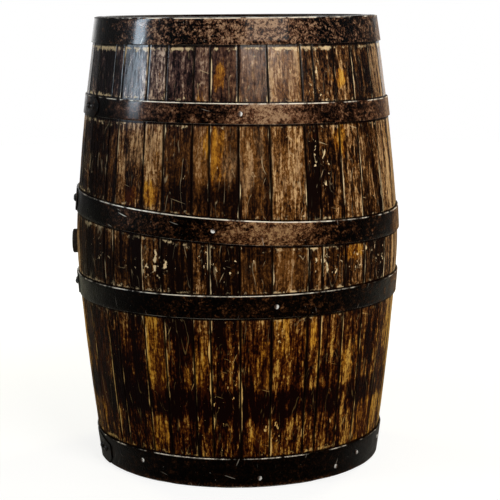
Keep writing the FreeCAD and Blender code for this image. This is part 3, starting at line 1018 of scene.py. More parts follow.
class Effects:
    """The shader groups, each built once."""

    def __init__(self) -> None:
        """Build all groups."""
        self.grain = self.wood_grain()
        self.ragged = self.ragged_edge()
        self.flecks = self.fleck_marks()
        self.scratches = self.scratch_marks()
        self.rust = self.rust_mottle()
        self.curls = self.curl_lines()

    @staticmethod
    def wood_grain() -> Group:
        """Grain of a board whose fibres run along Z.

        Returns:
            A group that gives the broad figure, the growth rings and the fine fibres.
        """
        group = EffectGroup("wood_grain", ("Figure", "Rings", "Fibre"), Place=Socket.VECTOR)
        sheet = group.sheet
        place = group.inputs["Place"]
        figure = sheet.noise(place, (34, 34, 2.2), detail=5.0, rough=0.55, bend=0.7)
        wave = sheet.add("ShaderNodeTexWave", wave_type="BANDS", bands_direction="X")
        sheet.fill(wave, Vector=sheet.stretch(place, (1.0, 1.0, 0.055)), Scale=42.0)
        sheet.fill(wave, Distortion=9.0, Detail=3.0, Detail_Scale=1.1)
        fibre = sheet.noise(place, (420, 420, 11), rough=0.6)
        return group.finish(Figure=figure, Rings=wave.outputs["Fac"], Fibre=fibre)

    @staticmethod
    def ragged_edge() -> Group:
        """A soft mask given a torn edge.

        Returns:
            A group that gives the torn mask.
        """
        kinds = {"Mask": Socket.VALUE, "Place": Socket.VECTOR, "Scale": Socket.VALUE}
        group = EffectGroup("ragged_edge", ("Mask",), **kinds)
        sheet = group.sheet
        mask = group.inputs["Mask"]
        tears = sheet.noise(group.inputs["Place"], group.inputs["Scale"], detail=5.0, rough=0.65)
        level = sheet.maths("ADD", sheet.weighed(-1.6, (tears, 2.2)), mask)
        torn = sheet.step(level, -0.12, 0.22)
        return group.finish(Mask=sheet.times(torn, sheet.step(mask, 0.0, 0.15)))

    @staticmethod
    def fleck_marks() -> Group:
        """Small bare chips in an old coat of stain.

        Returns:
            A group that gives the mask of the chips.
        """
        kinds = {"Place": Socket.VECTOR, "Scale": Socket.VALUE, "Amount": Socket.VALUE}
        group = EffectGroup("fleck_marks", ("Mask",), **kinds)
        sheet = group.sheet
        place = group.inputs["Place"]
        squat = sheet.stretch(place, (1, 1, 0.55))
        chips = sheet.noise(squat, group.inputs["Scale"], rough=0.6, bend=0.5)
        areas = sheet.noise(place, (9, 9, 6), detail=2.0)
        bound = sheet.maths("SUBTRACT", 0.955, group.inputs["Amount"])
        over = sheet.maths("SUBTRACT", sheet.weighed(chips, (areas, 0.22)), bound)
        return group.finish(Mask=sheet.step(over, 0.0, 0.035))

    @staticmethod
    def scratch_marks() -> Group:
        """Fine straight scratches in three directions.

        Returns:
            A group that gives the mask of the scratches.
        """
        kinds = {"Place": Socket.VECTOR, "Amount": Socket.VALUE}
        group = EffectGroup("scratch_marks", ("Mask",), **kinds)
        sheet = group.sheet
        bound = sheet.maths("SUBTRACT", 0.86, group.inputs["Amount"])
        marks: Source = 0.0
        for turn, across in ((12.0, 330.0), (-24.0, 270.0), (74.0, 240.0)):
            place = sheet.stretch(group.inputs["Place"], (1, 0.15, 1), (0, turn, 0))
            lines = sheet.noise(place, (across, 20, 14), detail=1.0, rough=0.4)
            line = sheet.step(sheet.maths("SUBTRACT", lines, bound), 0.0, 0.03)
            marks = sheet.most(marks, line)
        return group.finish(Mask=marks)

    @staticmethod
    def curl_lines() -> Group:
        """Thin curling lines, as where a coat has crazed or grain loops show.

        Returns:
            A group that gives the mask of the lines.
        """
        kinds = {"Place": Socket.VECTOR, "Scale": Socket.VALUE, "Width": Socket.VALUE}
        group = EffectGroup("curl_lines", ("Mask",), **kinds)
        sheet = group.sheet
        place = group.inputs["Place"]
        hills = sheet.noise(place, group.inputs["Scale"], detail=2.0, bend=1.2)
        distance = sheet.maths("ABSOLUTE", sheet.maths("SUBTRACT", hills, 0.5))
        line = sheet.maths("DIVIDE", distance, group.inputs["Width"])
        kept = sheet.step(sheet.noise(place, 90.0, detail=2.0), 0.48, 0.60)
        return group.finish(Mask=sheet.times(sheet.step(line, 1.0, 0.35), kept))

    @staticmethod
    def rust_mottle() -> Group:
        """Old rust: broad clouds, and small pits.

        Returns:
            A group that gives the clouds and the pits.
        """
        kinds = {"Place": Socket.VECTOR, "Scale": Socket.VALUE}
        group = EffectGroup("rust_mottle", ("Cloud", "Pit"), **kinds)
        sheet = group.sheet
        place, scale = group.inputs["Place"], group.inputs["Scale"]
        cloud = sheet.noise(place, scale, detail=6.0, rough=0.68, bend=0.5)
        pits = sheet.noise(place, sheet.times(scale, 9.0), rough=0.6)
        return group.finish(Cloud=sheet.step(cloud, 0.32, 0.68), Pit=sheet.step(pits, 0.45, 0.72))


@dataclass(frozen=True)
class Gloss:
    """How a finish shines: constants of the shader itself."""

    specular: float = 0.3
    coat_rough: float = 0.3


def new_finish(name: str) -> tuple[Material, Sheet]:
    """Start a finish.

    Args:
        name: Name of the material.

    Returns:
        The material and its empty sheet.
    """
    material = bpy.data.materials.new(name)
    material.use_nodes = True
    return material, Sheet(material.node_tree)


def close_finish(
    sheet: Sheet,
    colour: Source,
    rough: Source,
    normal: Source,
    metal: Source = 0.0,
    coat: Source = 0.0,
    gloss: Gloss = Gloss(),
) -> Node:
    """Wire the shader of a finish and its output.

    Args:
        sheet: The sheet of the finish.
        colour: Its colour.
        rough: Its roughness.
        normal: Its normal, with relief.
        metal: How metallic it is.
        coat: How much of a clear coat lies on it.
        gloss: How it shines.

    Returns:
        The shader.
    """
    shader = sheet.add("ShaderNodeBsdfPrincipled")
    sheet.fill(shader, Base_Color=colour, Roughness=rough, Metallic=metal, Normal=normal)
    sheet.fill(shader, Coat_Weight=coat)
    shader.inputs["Specular IOR Level"].default_value = gloss.specular
    shader.inputs["Coat Roughness"].default_value = gloss.coat_rough
    sheet.fill(sheet.add("ShaderNodeOutputMaterial"), Surface=shader.outputs["BSDF"])
    return shader


# ---------------- finishes


@dataclass(frozen=True)
class Stain:
    """Four colours of one stain, from where it lies thick to where it is worn thin."""

    thick: Colour
    umber: Colour
    brown: Colour
    thin: Colour

    def at(self, levels: Sequence[float]) -> Iterator[tuple[float, Colour]]:
        """The colours with the levels at which they show."""
        return zip(levels, (self.thick, self.umber, self.brown, self.thin))


@dataclass(frozen=True)
class StainMix:
    """How strongly each pattern of the wood lightens its stain, or darkens it."""

    base: float = -3.45
    figure: float = 1.5
    bands: float = 2.2
    streaks: float = 1.7
    fibre: float = 1.5
    calm_grain: float = -0.70  # the same where the grain hardly shows
    spots: float = 2.1
    spot_middle: float = -1.05
    spot_lift: float = 0.28
    calm_spots: float = -0.4
    calm_lift: float = 0.07
    dry: float = 0.26
    dark: float = -0.58


@dataclass(frozen=True)
class StaveOak:
    """Oak staves under old dark stain, worn down to bare wood along seams and hoops."""

    browns: Stain = Stain(
        (0.0040, 0.0013, 0.0008),
        (0.034, 0.0112, 0.0028),
        (0.145, 0.056, 0.0120),
        (0.54, 0.34, 0.160),
    )
    foot_browns: Stain = Stain(
        (0.0042, 0.0007, 0.0004),
        (0.034, 0.0062, 0.0011),
        (0.132, 0.038, 0.0042),
        (0.54, 0.30, 0.056),
    )
    plums: Stain = Stain(
        (0.0045, 0.0018, 0.0018),
        (0.032, 0.0145, 0.0145),
        (0.125, 0.072, 0.055),
        (0.51, 0.39, 0.30),
    )
    golds: Stain = Stain(
        (0.034, 0.0062, 0.0011),
        (0.132, 0.038, 0.0042),
        (0.44, 0.190, 0.016),
        (0.62, 0.34, 0.045),
    )
    levels: tuple[float, ...] = (0.07, 0.34, 0.63, 1.30)
    gold_levels: tuple[float, ...] = (0.02, 0.30, 0.66, 1.25)
    dry: Colour = (0.37, 0.225, 0.110)
    bare: Colour = (0.82, 0.62, 0.35)
    bare_gold: Colour = (0.80, 0.50, 0.16)
    mix: StainMix = StainMix()
    relief_depth: float = 0.0024
    gloss: Gloss = Gloss(specular=0.025, coat_rough=0.22)

    def build(self, effects: Effects) -> Material:
        """The finish of every stave.

        Args:
            effects: The shared groups.

        Returns:
            The material.
        """
        material, sheet = new_finish("stave_oak")
        place = sheet.attribute("grain_place", "Vector")
        along = sheet.stretch(place, (1.0, 1.0, 0.2))
        grain = sheet.use(effects.grain, Place=place).outputs
        streak = sheet.noise(place, (240, 240, 14), detail=4.0, rough=0.66, bend=0.35)
        colour, paleness = self.stained(effects, sheet, place, along, grain, streak)
        colour, marks = self.worn(effects, sheet, place, along, colour)
        colour = self.seamed(sheet, place, colour)
        rough = sheet.weighed(0.36, (grain["Figure"], 0.16), (paleness, 0.2))
        heights = ((grain["Fibre"], 0.5), (streak, 0.6), (marks, -0.35))
        relief = sheet.bump(sheet.weighed(grain["Figure"], *heights), self.relief_depth, 0.8)
        polish = sheet.step(sheet.attribute("polish"), 0.68, 0.92)
        coat = sheet.times(sheet.times(polish, sheet.step(streak, 0.25, 0.6)), 0.95)
        close_finish(sheet, colour, rough, relief, coat=coat, gloss=self.gloss)
        return material

    def lightness(
        self, sheet: Sheet, place: Source, grain: Source, streak: Source, wear: Sequence[Source]
    ) -> Plug:
        """How light the stain is.

        Args:
            sheet: The sheet of the finish.
            place: Place in the stave's grain.
            grain: Outputs of the grain group.
            streak: Noise of the stain's streaks.
            wear: How dry, golden and dark the wood is; the dry and golden parts also hold painted
                rim light.

        Returns:
            The level at which the stains' colours are read.
        """
        mix = self.mix
        dry, _, dark = wear
        # the tone attribute holds painted rim light, front light and shade besides each stave's own
        # tone
        tone, calm = sheet.attribute("tone"), sheet.attribute("calm")
        bands = sheet.noise(place, (95, 95, 3.4), bend=0.4)
        mottle = sheet.noise(place, (190, 190, 125), detail=4.0, rough=0.68, bend=0.5)
        level = sheet.weighed(
            mix.base,
            (grain["Figure"], mix.figure),
            (bands, mix.bands),
            (streak, mix.streaks),
            (grain["Fibre"], mix.fibre),
        )
        level = sheet.weighed(tone, (level, sheet.weighed(1.0, (calm, mix.calm_grain))))
        spots = sheet.weighed(mix.spot_middle, (mottle, mix.spots))
        spots = sheet.weighed(mix.spot_lift, (spots, sheet.weighed(1.0, (calm, mix.calm_spots))))
        level = sheet.maths("ADD", level, sheet.weighed(spots, (calm, mix.calm_lift)))
        return sheet.weighed(level, (dry, mix.dry), (dark, mix.dark))

    def stained(
        self,
        effects: Effects,
        sheet: Sheet,
        place: Source,
        along: Source,
        grain: Source,
        streak: Source,
    ) -> tuple[Plug, Plug]:
        """Stain that lies deep in the grain, thin over golden and dry wood and where rim light is
        painted.

        Args:
            effects: The shared groups.
            sheet: The sheet of the finish.
            place: Place in the stave's grain.
            along: The same place, drawn out along the grain.
            grain: Outputs of the grain group.
            streak: Noise of the stain's streaks.

        Returns:
            The colour, and how dry the wood is.
        """
        channels = sheet.add("ShaderNodeSeparateColor")
        sheet.fill(channels, Color=sheet.attribute("wear", "Color"))
        # the dry and golden channels also carry painted rim light at the silhouettes
        dry, golden, _ = channels.outputs
        level = self.lightness(sheet, place, grain, streak, channels.outputs)
        stained = sheet.ramp(level, *self.browns.at(self.levels))
        for name, stain in (("plum", self.plums), ("foot", self.foot_browns)):
            over = sheet.ramp(level, *stain.at(self.levels))
            stained = sheet.blend(sheet.attribute(name), stained, over)
        show = sheet.weighed(0.08, (sheet.attribute("tone"), 0.45), (golden, 1.05))
        torn = sheet.mask(effects.ragged, Mask=show, Place=along, Scale=110.0)
        glow = sheet.ramp(level, *self.golds.at(self.gold_levels))
        colour = sheet.blend(sheet.times(torn, 0.9), stained, glow)
        pale = sheet.mask(effects.ragged, Mask=dry, Place=along, Scale=60.0)
        chalk = sheet.weighed(0.12, (sheet.step(level, 0.30, 0.75), 0.6))
        return sheet.blend(sheet.times(pale, chalk), colour, self.dry), pale

    def worn(
        self, effects: Effects, sheet: Sheet, place: Source, along: Source, colour: Source
    ) -> tuple[Plug, Plug]:
        """Chips, scratches and the rub of the hoops, down to bare wood.

        Args:
            effects: The shared groups.
            sheet: The sheet of the finish.
            place: Place in the stave's grain.
            along: The same place, drawn out along the grain.
            colour: The colour so far.

        Returns:
            The colour and the mask of the marks.
        """
        bare = self.bared(sheet)
        chipped = sheet.attribute("chipped")
        rub = sheet.attribute("hoop_rub")
        rubbed = sheet.mask(effects.ragged, Mask=rub, Place=place, Scale=95.0)
        colour = sheet.blend(sheet.times(rubbed, 0.65), colour, bare)
        flecks = sheet.mask(effects.flecks, Place=place, Scale=190.0, Amount=0.115)
        amount = sheet.weighed(0.06, (chipped, 0.23))
        chips = sheet.mask(effects.flecks, Place=place, Scale=135.0, Amount=amount)
        scored = sheet.weighed(0.075, (chipped, 0.04))
        scratches = sheet.mask(effects.scratches, Place=place, Amount=scored)
        curls = sheet.mask(effects.curls, Place=along, Scale=24.0, Width=0.009)
        curls = sheet.times(curls, sheet.weighed(0.13, (sheet.attribute("calm"), 0.22)))
        lines = sheet.most(sheet.times(scratches, 0.45), curls)
        marks = sheet.most(sheet.most(flecks, chips), lines)
        return sheet.blend(sheet.times(marks, 0.9), colour, bare), marks

    def bared(self, sheet: Sheet) -> Plug:
        """Bare wood: cream, and golden near the foot."""
        return sheet.blend(sheet.attribute("foot"), self.bare, self.bare_gold)

    def seamed(self, sheet: Sheet, place: Source, colour: Source) -> Plug:
        """Black joints with a rubbed lip, and a painted shadow line below and above each hoop,
        wider below.

        Args:
            sheet: The sheet of the finish.
            place: Place in the stave's grain.
            colour: The colour so far.

        Returns:
            The colour.
        """
        seam = sheet.attribute("seam")  # millimetres from the joint
        lip_wear = sheet.noise(place, (45, 45, 9), detail=5.0, rough=0.62)
        reach = sheet.weighed(-11.1, (lip_wear, 24.0))
        lip = sheet.step(sheet.maths("SUBTRACT", reach, seam), -0.5, 0.9)
        lip = sheet.times(lip, sheet.step(seam, 0.9, 1.5))
        colour = sheet.blend(sheet.times(lip, 0.82), colour, self.bared(sheet))
        dirt_width = sheet.times(seam, sheet.weighed(-0.6, (lip_wear, 2.8)))
        # a painted shadow line along each hoop, wider below it
        hoop_shadow_line = sheet.step(sheet.attribute("hoop_gap"), 4.2, 2.3)
        joint_dirt_and_hoop_shadow = sheet.most(sheet.step(dirt_width, 3.0, 1.3), hoop_shadow_line)
        return sheet.blend(sheet.times(joint_dirt_and_hoop_shadow, 0.94), colour, self.browns.thick)


@dataclass(frozen=True)
class PlainWood:
    """A wooden piece that shows its own grain, with dirt rubbed in."""

    name: str
    light: Colour
    deep: Colour
    dirt: float = 0.5
    rough: float = 0.5
    scratched: float = 0.08
    chipped: float = 0.14
    relief_depth: float = 0.0008

    def build(self, effects: Effects) -> Material:
        """The finish, whose grain follows the piece's own grain place.

        Args:
            effects: The shared groups.

        Returns:
            The material.
        """
        material, sheet = new_finish(self.name)
        place = sheet.attribute("grain_place", "Vector")
        grain = sheet.use(effects.grain, Place=place).outputs
        patterns = ((grain["Fibre"], 0.5), (grain["Rings"], 0.25))
        level = sheet.weighed(sheet.times(grain["Figure"], 0.8), *patterns)
        colour = sheet.ramp(level, (0.38, self.deep), (0.95, self.light))
        grime = sheet.use(effects.rust, Place=place, Scale=14.0).outputs["Cloud"]
        dirty = sheet.blend(0.75, colour, self.deep, "MULTIPLY")
        colour = sheet.blend(sheet.times(grime, self.dirt), colour, dirty)
        marks = sheet.mask(effects.scratches, Place=place, Amount=self.scratched)
        chips = sheet.mask(effects.flecks, Place=place, Scale=150.0, Amount=self.chipped)
        colour = sheet.blend(sheet.times(sheet.most(marks, chips), 0.6), colour, self.light)
        rough = sheet.weighed(self.rough - 0.1, (grain["Figure"], 0.2))
        relief = sheet.weighed(grain["Rings"], (grain["Fibre"], 0.4))
        close_finish(sheet, colour, rough, sheet.bump(relief, self.relief_depth, 0.5))
        return material


@dataclass(frozen=True)
class RustMix:
    """How strongly each pattern on a hoop browns it."""

    base: float = -1.98
    cloud: float = 0.22
    speckle: float = 1.9
    blotch: float = 1.8
    pit: float = -0.18
    # how much brown dust and painted sheen lighten a hoop
    bloom: float = 0.42


@dataclass(frozen=True)
class HoopSteel:
    """Strip steel gone black and brown, bright where its edges are rubbed, with painted sheen,
    glints and shade in places.
    """

    black: Colour = (0.0025, 0.0018, 0.0018)
    plum: Colour = (0.020, 0.0084, 0.0046)
    rust: Colour = (0.092, 0.034, 0.0145)
    # colour of brown dust, also shown where sheen and rim light are painted
    bloom: Colour = (0.29, 0.18, 0.105)
    low_cast: Colour = (1.0, 0.93, 0.66)  # tint of the rust on the lower hoops
    bright: Colour = (0.80, 0.72, 0.60)
    mix: RustMix = RustMix()
    relief_depth: float = 0.0007
    gloss: Gloss = Gloss(specular=0.08, coat_rough=0.13)

    def build(self, effects: Effects) -> Material:
        """The finish of the hoops.

        Args:
            effects: The shared groups.

        Returns:
            The material.
        """
        material, sheet = new_finish("hoop_steel")
        mix = self.mix
        place = sheet.attribute("grain_place", "Vector")
        # this attribute holds brown dust, with painted front sheen and rim light
        bloom, polish = sheet.attribute("bloom"), sheet.attribute("polish")
        rust = sheet.use(effects.rust, Place=place, Scale=24.0).outputs
        speckle = sheet.noise(place, 230.0, detail=4.0, rough=0.75, bend=0.6)
        blotch = sheet.noise(place, (70, 70, 90), detail=5.0, rough=0.7, bend=0.4)
        level = sheet.weighed(
            mix.base,
            (rust["Cloud"], mix.cloud),
            (speckle, mix.speckle),
            (blotch, mix.blotch),
            (rust["Pit"], mix.pit),
        )
        # tone is lower on the left of the hoops, where it paints shade
        mottled = (level, sheet.attribute("mottle"))
        level = sheet.weighed(sheet.attribute("tone"), mottled, (bloom, mix.bloom))
        colour = sheet.ramp(
            level, (0.06, self.black), (0.30, self.plum), (0.52, self.rust), (0.82, self.bloom)
        )
        lower = sheet.maths("SUBTRACT", 1.0, polish, clamp=True)
        colour = sheet.blend(lower, colour, self.low_cast, "MULTIPLY")
        scratches = sheet.mask(effects.scratches, Place=place, Amount=0.115)
        flecks = sheet.mask(effects.flecks, Place=place, Scale=260.0, Amount=0.12)
        marks = sheet.most(sheet.times(scratches, 0.4), sheet.times(flecks, 0.55))
        edge = sheet.attribute("edge")  # millimetres from the nearer edge
        rubbed = sheet.noise(place, (22, 22, 22), detail=4.0, rough=0.7)
        # the rubbed stretches also paint the front lamp's glint on the edges
        rubbed = sheet.weighed(rubbed, (sheet.attribute("rubbed"), 0.12))
        rim = sheet.times(sheet.step(edge, 2.2, 0.7), sheet.step(rubbed, 0.47, 0.64))
        bare = sheet.most(rim, marks)
        colour = sheet.blend(bare, colour, self.bright)
        rough = sheet.weighed(0.27, (rust["Cloud"], 0.16), (bloom, 0.12))
        metal = sheet.maths("SUBTRACT", 0.9, sheet.step(level, 0.2, 0.6), clamp=True)
        metal = sheet.maths("MULTIPLY_ADD", bare, -0.7, metal, clamp=True)
        relief = sheet.weighed(speckle, (rust["Pit"], -0.5), (marks, -0.3))
        normal = sheet.bump(relief, self.relief_depth, 0.55)
        coat = sheet.times(sheet.step(polish, 0.7, 1.0), sheet.step(edge, 1.2, 3.0))
        dusty = sheet.maths("MULTIPLY_ADD", bloom, -0.85, 1.0, clamp=True)
        close_finish(sheet, colour, rough, normal, metal, sheet.times(coat, dusty), self.gloss)
        return material


@dataclass(frozen=True)
class FastenerSteel:
    """Rivets and nails: steel with rust round the bright crown of each head."""

    name: str
    crown: Colour
    rust: Colour
    wear_low: float
    wear_high: float

    def build(self, effects: Effects) -> Material:
        """The finish of one kind of fastener.

        Args:
            effects: The shared groups.

        Returns:
            The material.
        """
        material, sheet = new_finish(self.name)
        place = sheet.add("ShaderNodeTexCoord").outputs["Object"]
        rust = sheet.use(effects.rust, Place=place, Scale=160.0).outputs
        worn = sheet.weighed(sheet.attribute("crown"), (rust["Cloud"], -0.35))
        worn = sheet.step(worn, self.wear_low, self.wear_high)
        colour = sheet.blend(worn, self.rust, self.crown)
        colour = sheet.blend(sheet.times(rust["Pit"], 0.4), colour, self.rust)
        rough = sheet.weighed(0.32, (rust["Cloud"], 0.25))
        normal = sheet.bump(rust["Pit"], 0.0003, 0.5)
        close_finish(sheet, colour, rough, normal, sheet.times(worn, 0.3))
        return material


@dataclass(frozen=True)
class CorkFinish:
    """Pressed cork with dark pores."""

    light: Colour = (0.52, 0.34, 0.19)
    pore: Colour = (0.12, 0.06, 0.03)

    def build(self, effects: Effects) -> Material:
        """The finish of the bush.

        Args:
            effects: The shared groups.

        Returns:
            The material.
        """
        material, sheet = new_finish("cork")
        place = sheet.add("ShaderNodeTexCoord").outputs["Object"]
        pits = sheet.use(effects.rust, Place=place, Scale=240.0).outputs["Pit"]
        cells = sheet.fill(sheet.add("ShaderNodeTexVoronoi"), Vector=place, Scale=900.0)
        colour = sheet.blend(sheet.times(pits, 0.8), self.light, self.pore)
        colour = sheet.blend(sheet.times(cells.outputs["Distance"], 0.4), colour, self.pore)
        close_finish(sheet, colour, 0.85, sheet.bump(pits, 0.0005, 0.6), gloss=Gloss(0.15))
        return material


@dataclass(frozen=True)
class StudioWhite:
    """Pale floor that shows white to the camera and keeps the object's shadow."""

    colour: Colour = (0.26, 0.26, 0.256)
    worn: Colour = (0.22, 0.22, 0.22)
    near_lift: float = 0.78  # light that only the camera sees, by the object
    far_lift: float = 0.95  # the same where the floor meets the backdrop
    near: float = 0.6
    far: float = 2.4

    def build(self) -> Material:
        """The finish of the floor.

        Returns:
            The material.
        """
        material, sheet = new_finish("studio_floor")
        place = sheet.add("ShaderNodeTexCoord").outputs["Object"]
        mottle = sheet.step(sheet.noise(place, 3.0, detail=2.0), 0.0, 1.0)
        colour = sheet.blend(sheet.times(mottle, 0.04), self.colour, self.worn)
        normal = sheet.bump(mottle, 0.0001, 0.1)
        shader = close_finish(sheet, colour, 0.75, normal, gloss=Gloss(0.2))
        distance = sheet.add("ShaderNodeVectorMath", operation="LENGTH")
        sheet.feed(distance.inputs[0], place)
        away = sheet.step(distance.outputs["Value"], self.near, self.far)
        lift = sheet.weighed(self.near_lift, (away, self.far_lift - self.near_lift))
        path = sheet.add("ShaderNodeLightPath").outputs
        seen = sheet.most(path["Is Camera Ray"], path["Is Transmission Ray"])
        glow = sheet.times(seen, lift)
        sheet.fill(shader, Emission_Color=(1.0, 1.0, 1.0), Emission_Strength=glow)
        return material


# ---------------- sub-assemblies


def turn_about_axis(turn: float) -> None:
    """Turn what is selected anticlockwise about the cask axis, by radians."""
    # to the operators of this function and the next, an angle above 0 is clockwise
    bpy.ops.transform.rotate(value=-turn, orient_axis="Z", center_override=(0, 0, 0))


def spin_about_axis(turn: float, steps: int) -> None:
    """Spin what is selected anticlockwise about the cask axis, and merge.

    Args:
        turn: The angle in radians.
        steps: How many columns of faces that makes.
    """
    bpy.ops.mesh.spin(steps=steps, angle=-turn, center=(0, 0, 0), axis=(0, 0, 1))
    select_whole()
    bpy.ops.mesh.remove_doubles(threshold=MERGE_DISTANCE)


def scale_about_axis(ratio: float) -> None:
    """Move what is selected level from or to the cask axis."""
    bpy.ops.transform.resize(value=(ratio, ratio, 1.0), center_override=(0, 0, 0))


@dataclass
class StaveRing:
    """The bent staves that make the wall of the cask."""

    bow: Bow
    hoops: Sequence[HoopPlan]
    finish: Material
    thickness: float = 0.027
    chime_thickness: float = 0.024
    chime_bevel: float = 0.008
    croze_distance: float = 0.035
    croze_width: float = 0.006
    croze_depth: float = 0.005
    row_pitch: float = 0.010  # between cross rows of faces
    column_pitch: float = 0.0065
    fewest_columns: int = 4
    turn_slack: float = 1.0  # degrees by which a turned section may miss its place
    span_slack: float = 0.1  # degrees by which a stave may pass the sides of its solid
    seam_gap: float = 0.0002  # taken off each long side
    seam_round: float = 0.0016
    end_round: float = 0.0018
    set_back: float = 0.0007  # the most that one stave lies deeper than its neighbours
    flatness: float = 0.6  # 0 for a round outer face, 1 for a flat one
    plane_reach: float = 0.002  # depth of the layer that is planed
    dent_reach: float = 0.003  # depth of the layer that is dented
    dent_depth: float = 0.0009
    dent_grain: float = 0.05
    tap_height: float = 0.098
    tap_hole: float = 0.0108  # radius
    hole_sides: int = 48
    grain_shift: float = 50.0  # the most that a stave is shifted in the pattern of the grain
    grain_lean: float = 0.02
    tone_spread: float = 0.22  # the most that a stave is lighter or darker than its zone
    patch_slope: float = 0.3  # how much a patch of wear changes within one stave
    # the black line below a hoop is a painted shadow
    hoop_shade: float = 0.0014  # how much further the black line reaches below a hoop
    foot_heights: tuple[float, float] = (0.29, 0.39)  # where the foot's colours fade out
    hoop_rub: HoopRub = HoopRub()
    lost_hoop: LostHoop = LostHoop()

    @property
    def gap_turn(self) -> float:
        """Degrees taken off each long side of a stave."""
        return math.degrees(self.seam_gap / self.bow.bilge_radius)

    def stations(self) -> list[tuple[float, float]]:
        """Heights up the wall with the wall's thickness there.

        Returns:
            Pairs of height and thickness, from the lower end to the upper; a repeated height
            is a step in the inner face.
        """
        groove = self.chime_thickness - self.croze_depth
        near = self.croze_distance - self.croze_width / 2
        far = self.croze_distance + self.croze_width / 2
        end = [
            (0.0, self.chime_thickness - self.chime_bevel),
            (self.chime_bevel, self.chime_thickness),
            (near, self.chime_thickness),
            (near, groove),
            (far, groove),
            (far, self.thickness),
        ]
        span = self.bow.height - 2 * far
        count = round(span / self.row_pitch)
        middle = [(far + span * i / count, self.thickness) for i in range(1, count)]
        top = [(self.bow.height - height, wall) for height, wall in reversed(end)]
        return end + middle + top

    def section(self) -> Piece:
        """The wall's section in the plane of its axis, drawn out station by station.

        Returns:
            A flat strip that the staves are spun from.
        """
        stations = self.stations()
        height, wall = stations[0]
        outer = float(self.bow.radius_at(height))
        bpy.ops.mesh.primitive_plane_add(size=wall, location=(outer - wall / 2, wall / 2, height))
        strip = bpy.context.object
        settle_place(strip)
        with editing(strip):
            pick_points(strip, lambda point: point.y > wall / 2)
            bpy.ops.mesh.delete(type="VERT")
            select_whole()
            for next_height, next_wall in stations[1:]:
                next_outer = float(self.bow.radius_at(next_height))
                move = (next_outer - outer, 0.0, next_height - height)
                bpy.ops.mesh.extrude_region_move(TRANSFORM_OT_translate={"value": move})
                if abs(next_wall - wall) > MILLIMETRE / 100:
                    self.thicken_tip(strip, wall - next_wall)
                height, wall, outer = next_height, next_wall, next_outer
        return strip

    @staticmethod
    def thicken_tip(strip: Piece, inward: float) -> None:
        """Move the inner end of the edge just drawn, and leave the whole edge selected.

        Args:
            strip: The strip in edit mode.
            inward: How far the end moves along +X.
        """
        mesh = bmesh.from_edit_mesh(strip.data)
        tip = [vertex for vertex in mesh.verts if vertex.select]
        inner = min(tip, key=lambda vertex: vertex.co.x)
        for vertex in tip:
            vertex.select = vertex is inner
        mesh.select_flush_mode()
        bmesh.update_edit_mesh(strip.data)
        bpy.ops.transform.translate(value=(inward, 0.0, 0.0))
        mesh = bmesh.from_edit_mesh(strip.data)
        mesh.verts.ensure_lookup_table()
        for vertex in list(mesh.verts)[-2:]:
            vertex.select = True
        mesh.select_flush_mode()
        bmesh.update_edit_mesh(strip.data)

    @staticmethod
    def span(node: str) -> tuple[float, float]:
        """Azimuths of the two long sides of a stave, in degrees.

        Args:
            node: Name of the stave's solid.

        Returns:
            The start and the end, which is the larger.
        """
        rows = coordinates(bpy.data.objects[node])
        centre = math.degrees(math.atan2(rows[:, 1].mean(), rows[:, 0].mean()))
        turns = turn_between(turn_of(rows), centre)
        return centre + float(turns.min()), centre + float(turns.max())

    def spun(self, strip: Piece, node: str) -> Piece:
        """One stave spun from the section through its own span.

        Args:
            strip: The section.
            node: Name of the stave's solid.

        Returns:
            The stave.
        """
        start, end = self.span(node)
        turn = math.radians(end - start - 2 * self.gap_turn)
        steps = max(self.fewest_columns, round(turn * self.bow.bilge_radius / self.column_pitch))
        stave = clone(strip, f"{node}_oak")
        with editing(stave, everything=True):
            turn_about_axis(math.radians(start + self.gap_turn))
        turned = turn_of(coordinates(stave))
        if abs(turn_between(float(turned[0]), start + self.gap_turn)) > self.turn_slack:
            raise ValueError(f"{node} was turned the wrong way")
        with editing(stave, everything=True):
            spin_about_axis(turn, steps)
            bpy.ops.mesh.normals_make_consistent(inside=False)
        reach = turn_between(turn_of(coordinates(stave)), start)
        if reach.min() < -self.span_slack or reach.max() > end - start + self.span_slack:
            raise ValueError(f"{node} was spun the wrong way")
        return stave

    def rounded(self, stave: Piece, node: str) -> None:
        """Round the long outer edges and the two ends of a stave.

        Args:
            stave: The stave.
            node: Name of its solid.
        """
        start, end = self.span(node)
        centre = (start + end) / 2
        half = (end - start) / 2 - 2 * self.gap_turn

        def outside(point: Vector) -> bool:
            """Whether a point is on the outer face."""
            return math.hypot(point.x, point.y) > float(self.bow.radius_at(point.z)) - MILLIMETRE

        def at_side(point: Vector) -> bool:
            """Whether a point is on a long outer edge."""
            return outside(point) and abs(float(turn_between(azimuth_of(point), centre))) > half

        def at_end(point: Vector) -> bool:
            """Whether a point is on the outer edge of an end."""
            rise = min(point.z, self.bow.height - point.z)
            return outside(point) and rise < MILLIMETRE / 10

        def along_side(one: Vector, other: Vector) -> bool:
            """Whether an edge is part of a long outer edge."""
            return at_side(one) and at_side(other) and abs(one.z - other.z) > MILLIMETRE / 10

        def along_end(one: Vector, other: Vector) -> bool:
            """Whether an edge is part of the outer edge of an end."""
            return at_end(one) and at_end(other)

        for wanted, width in ((along_side, self.seam_round), (along_end, self.end_round)):
            with editing(stave, "EDGE"):
                pick_edges(stave, wanted)
                bpy.ops.mesh.bevel(offset=width, segments=2, profile=0.5)

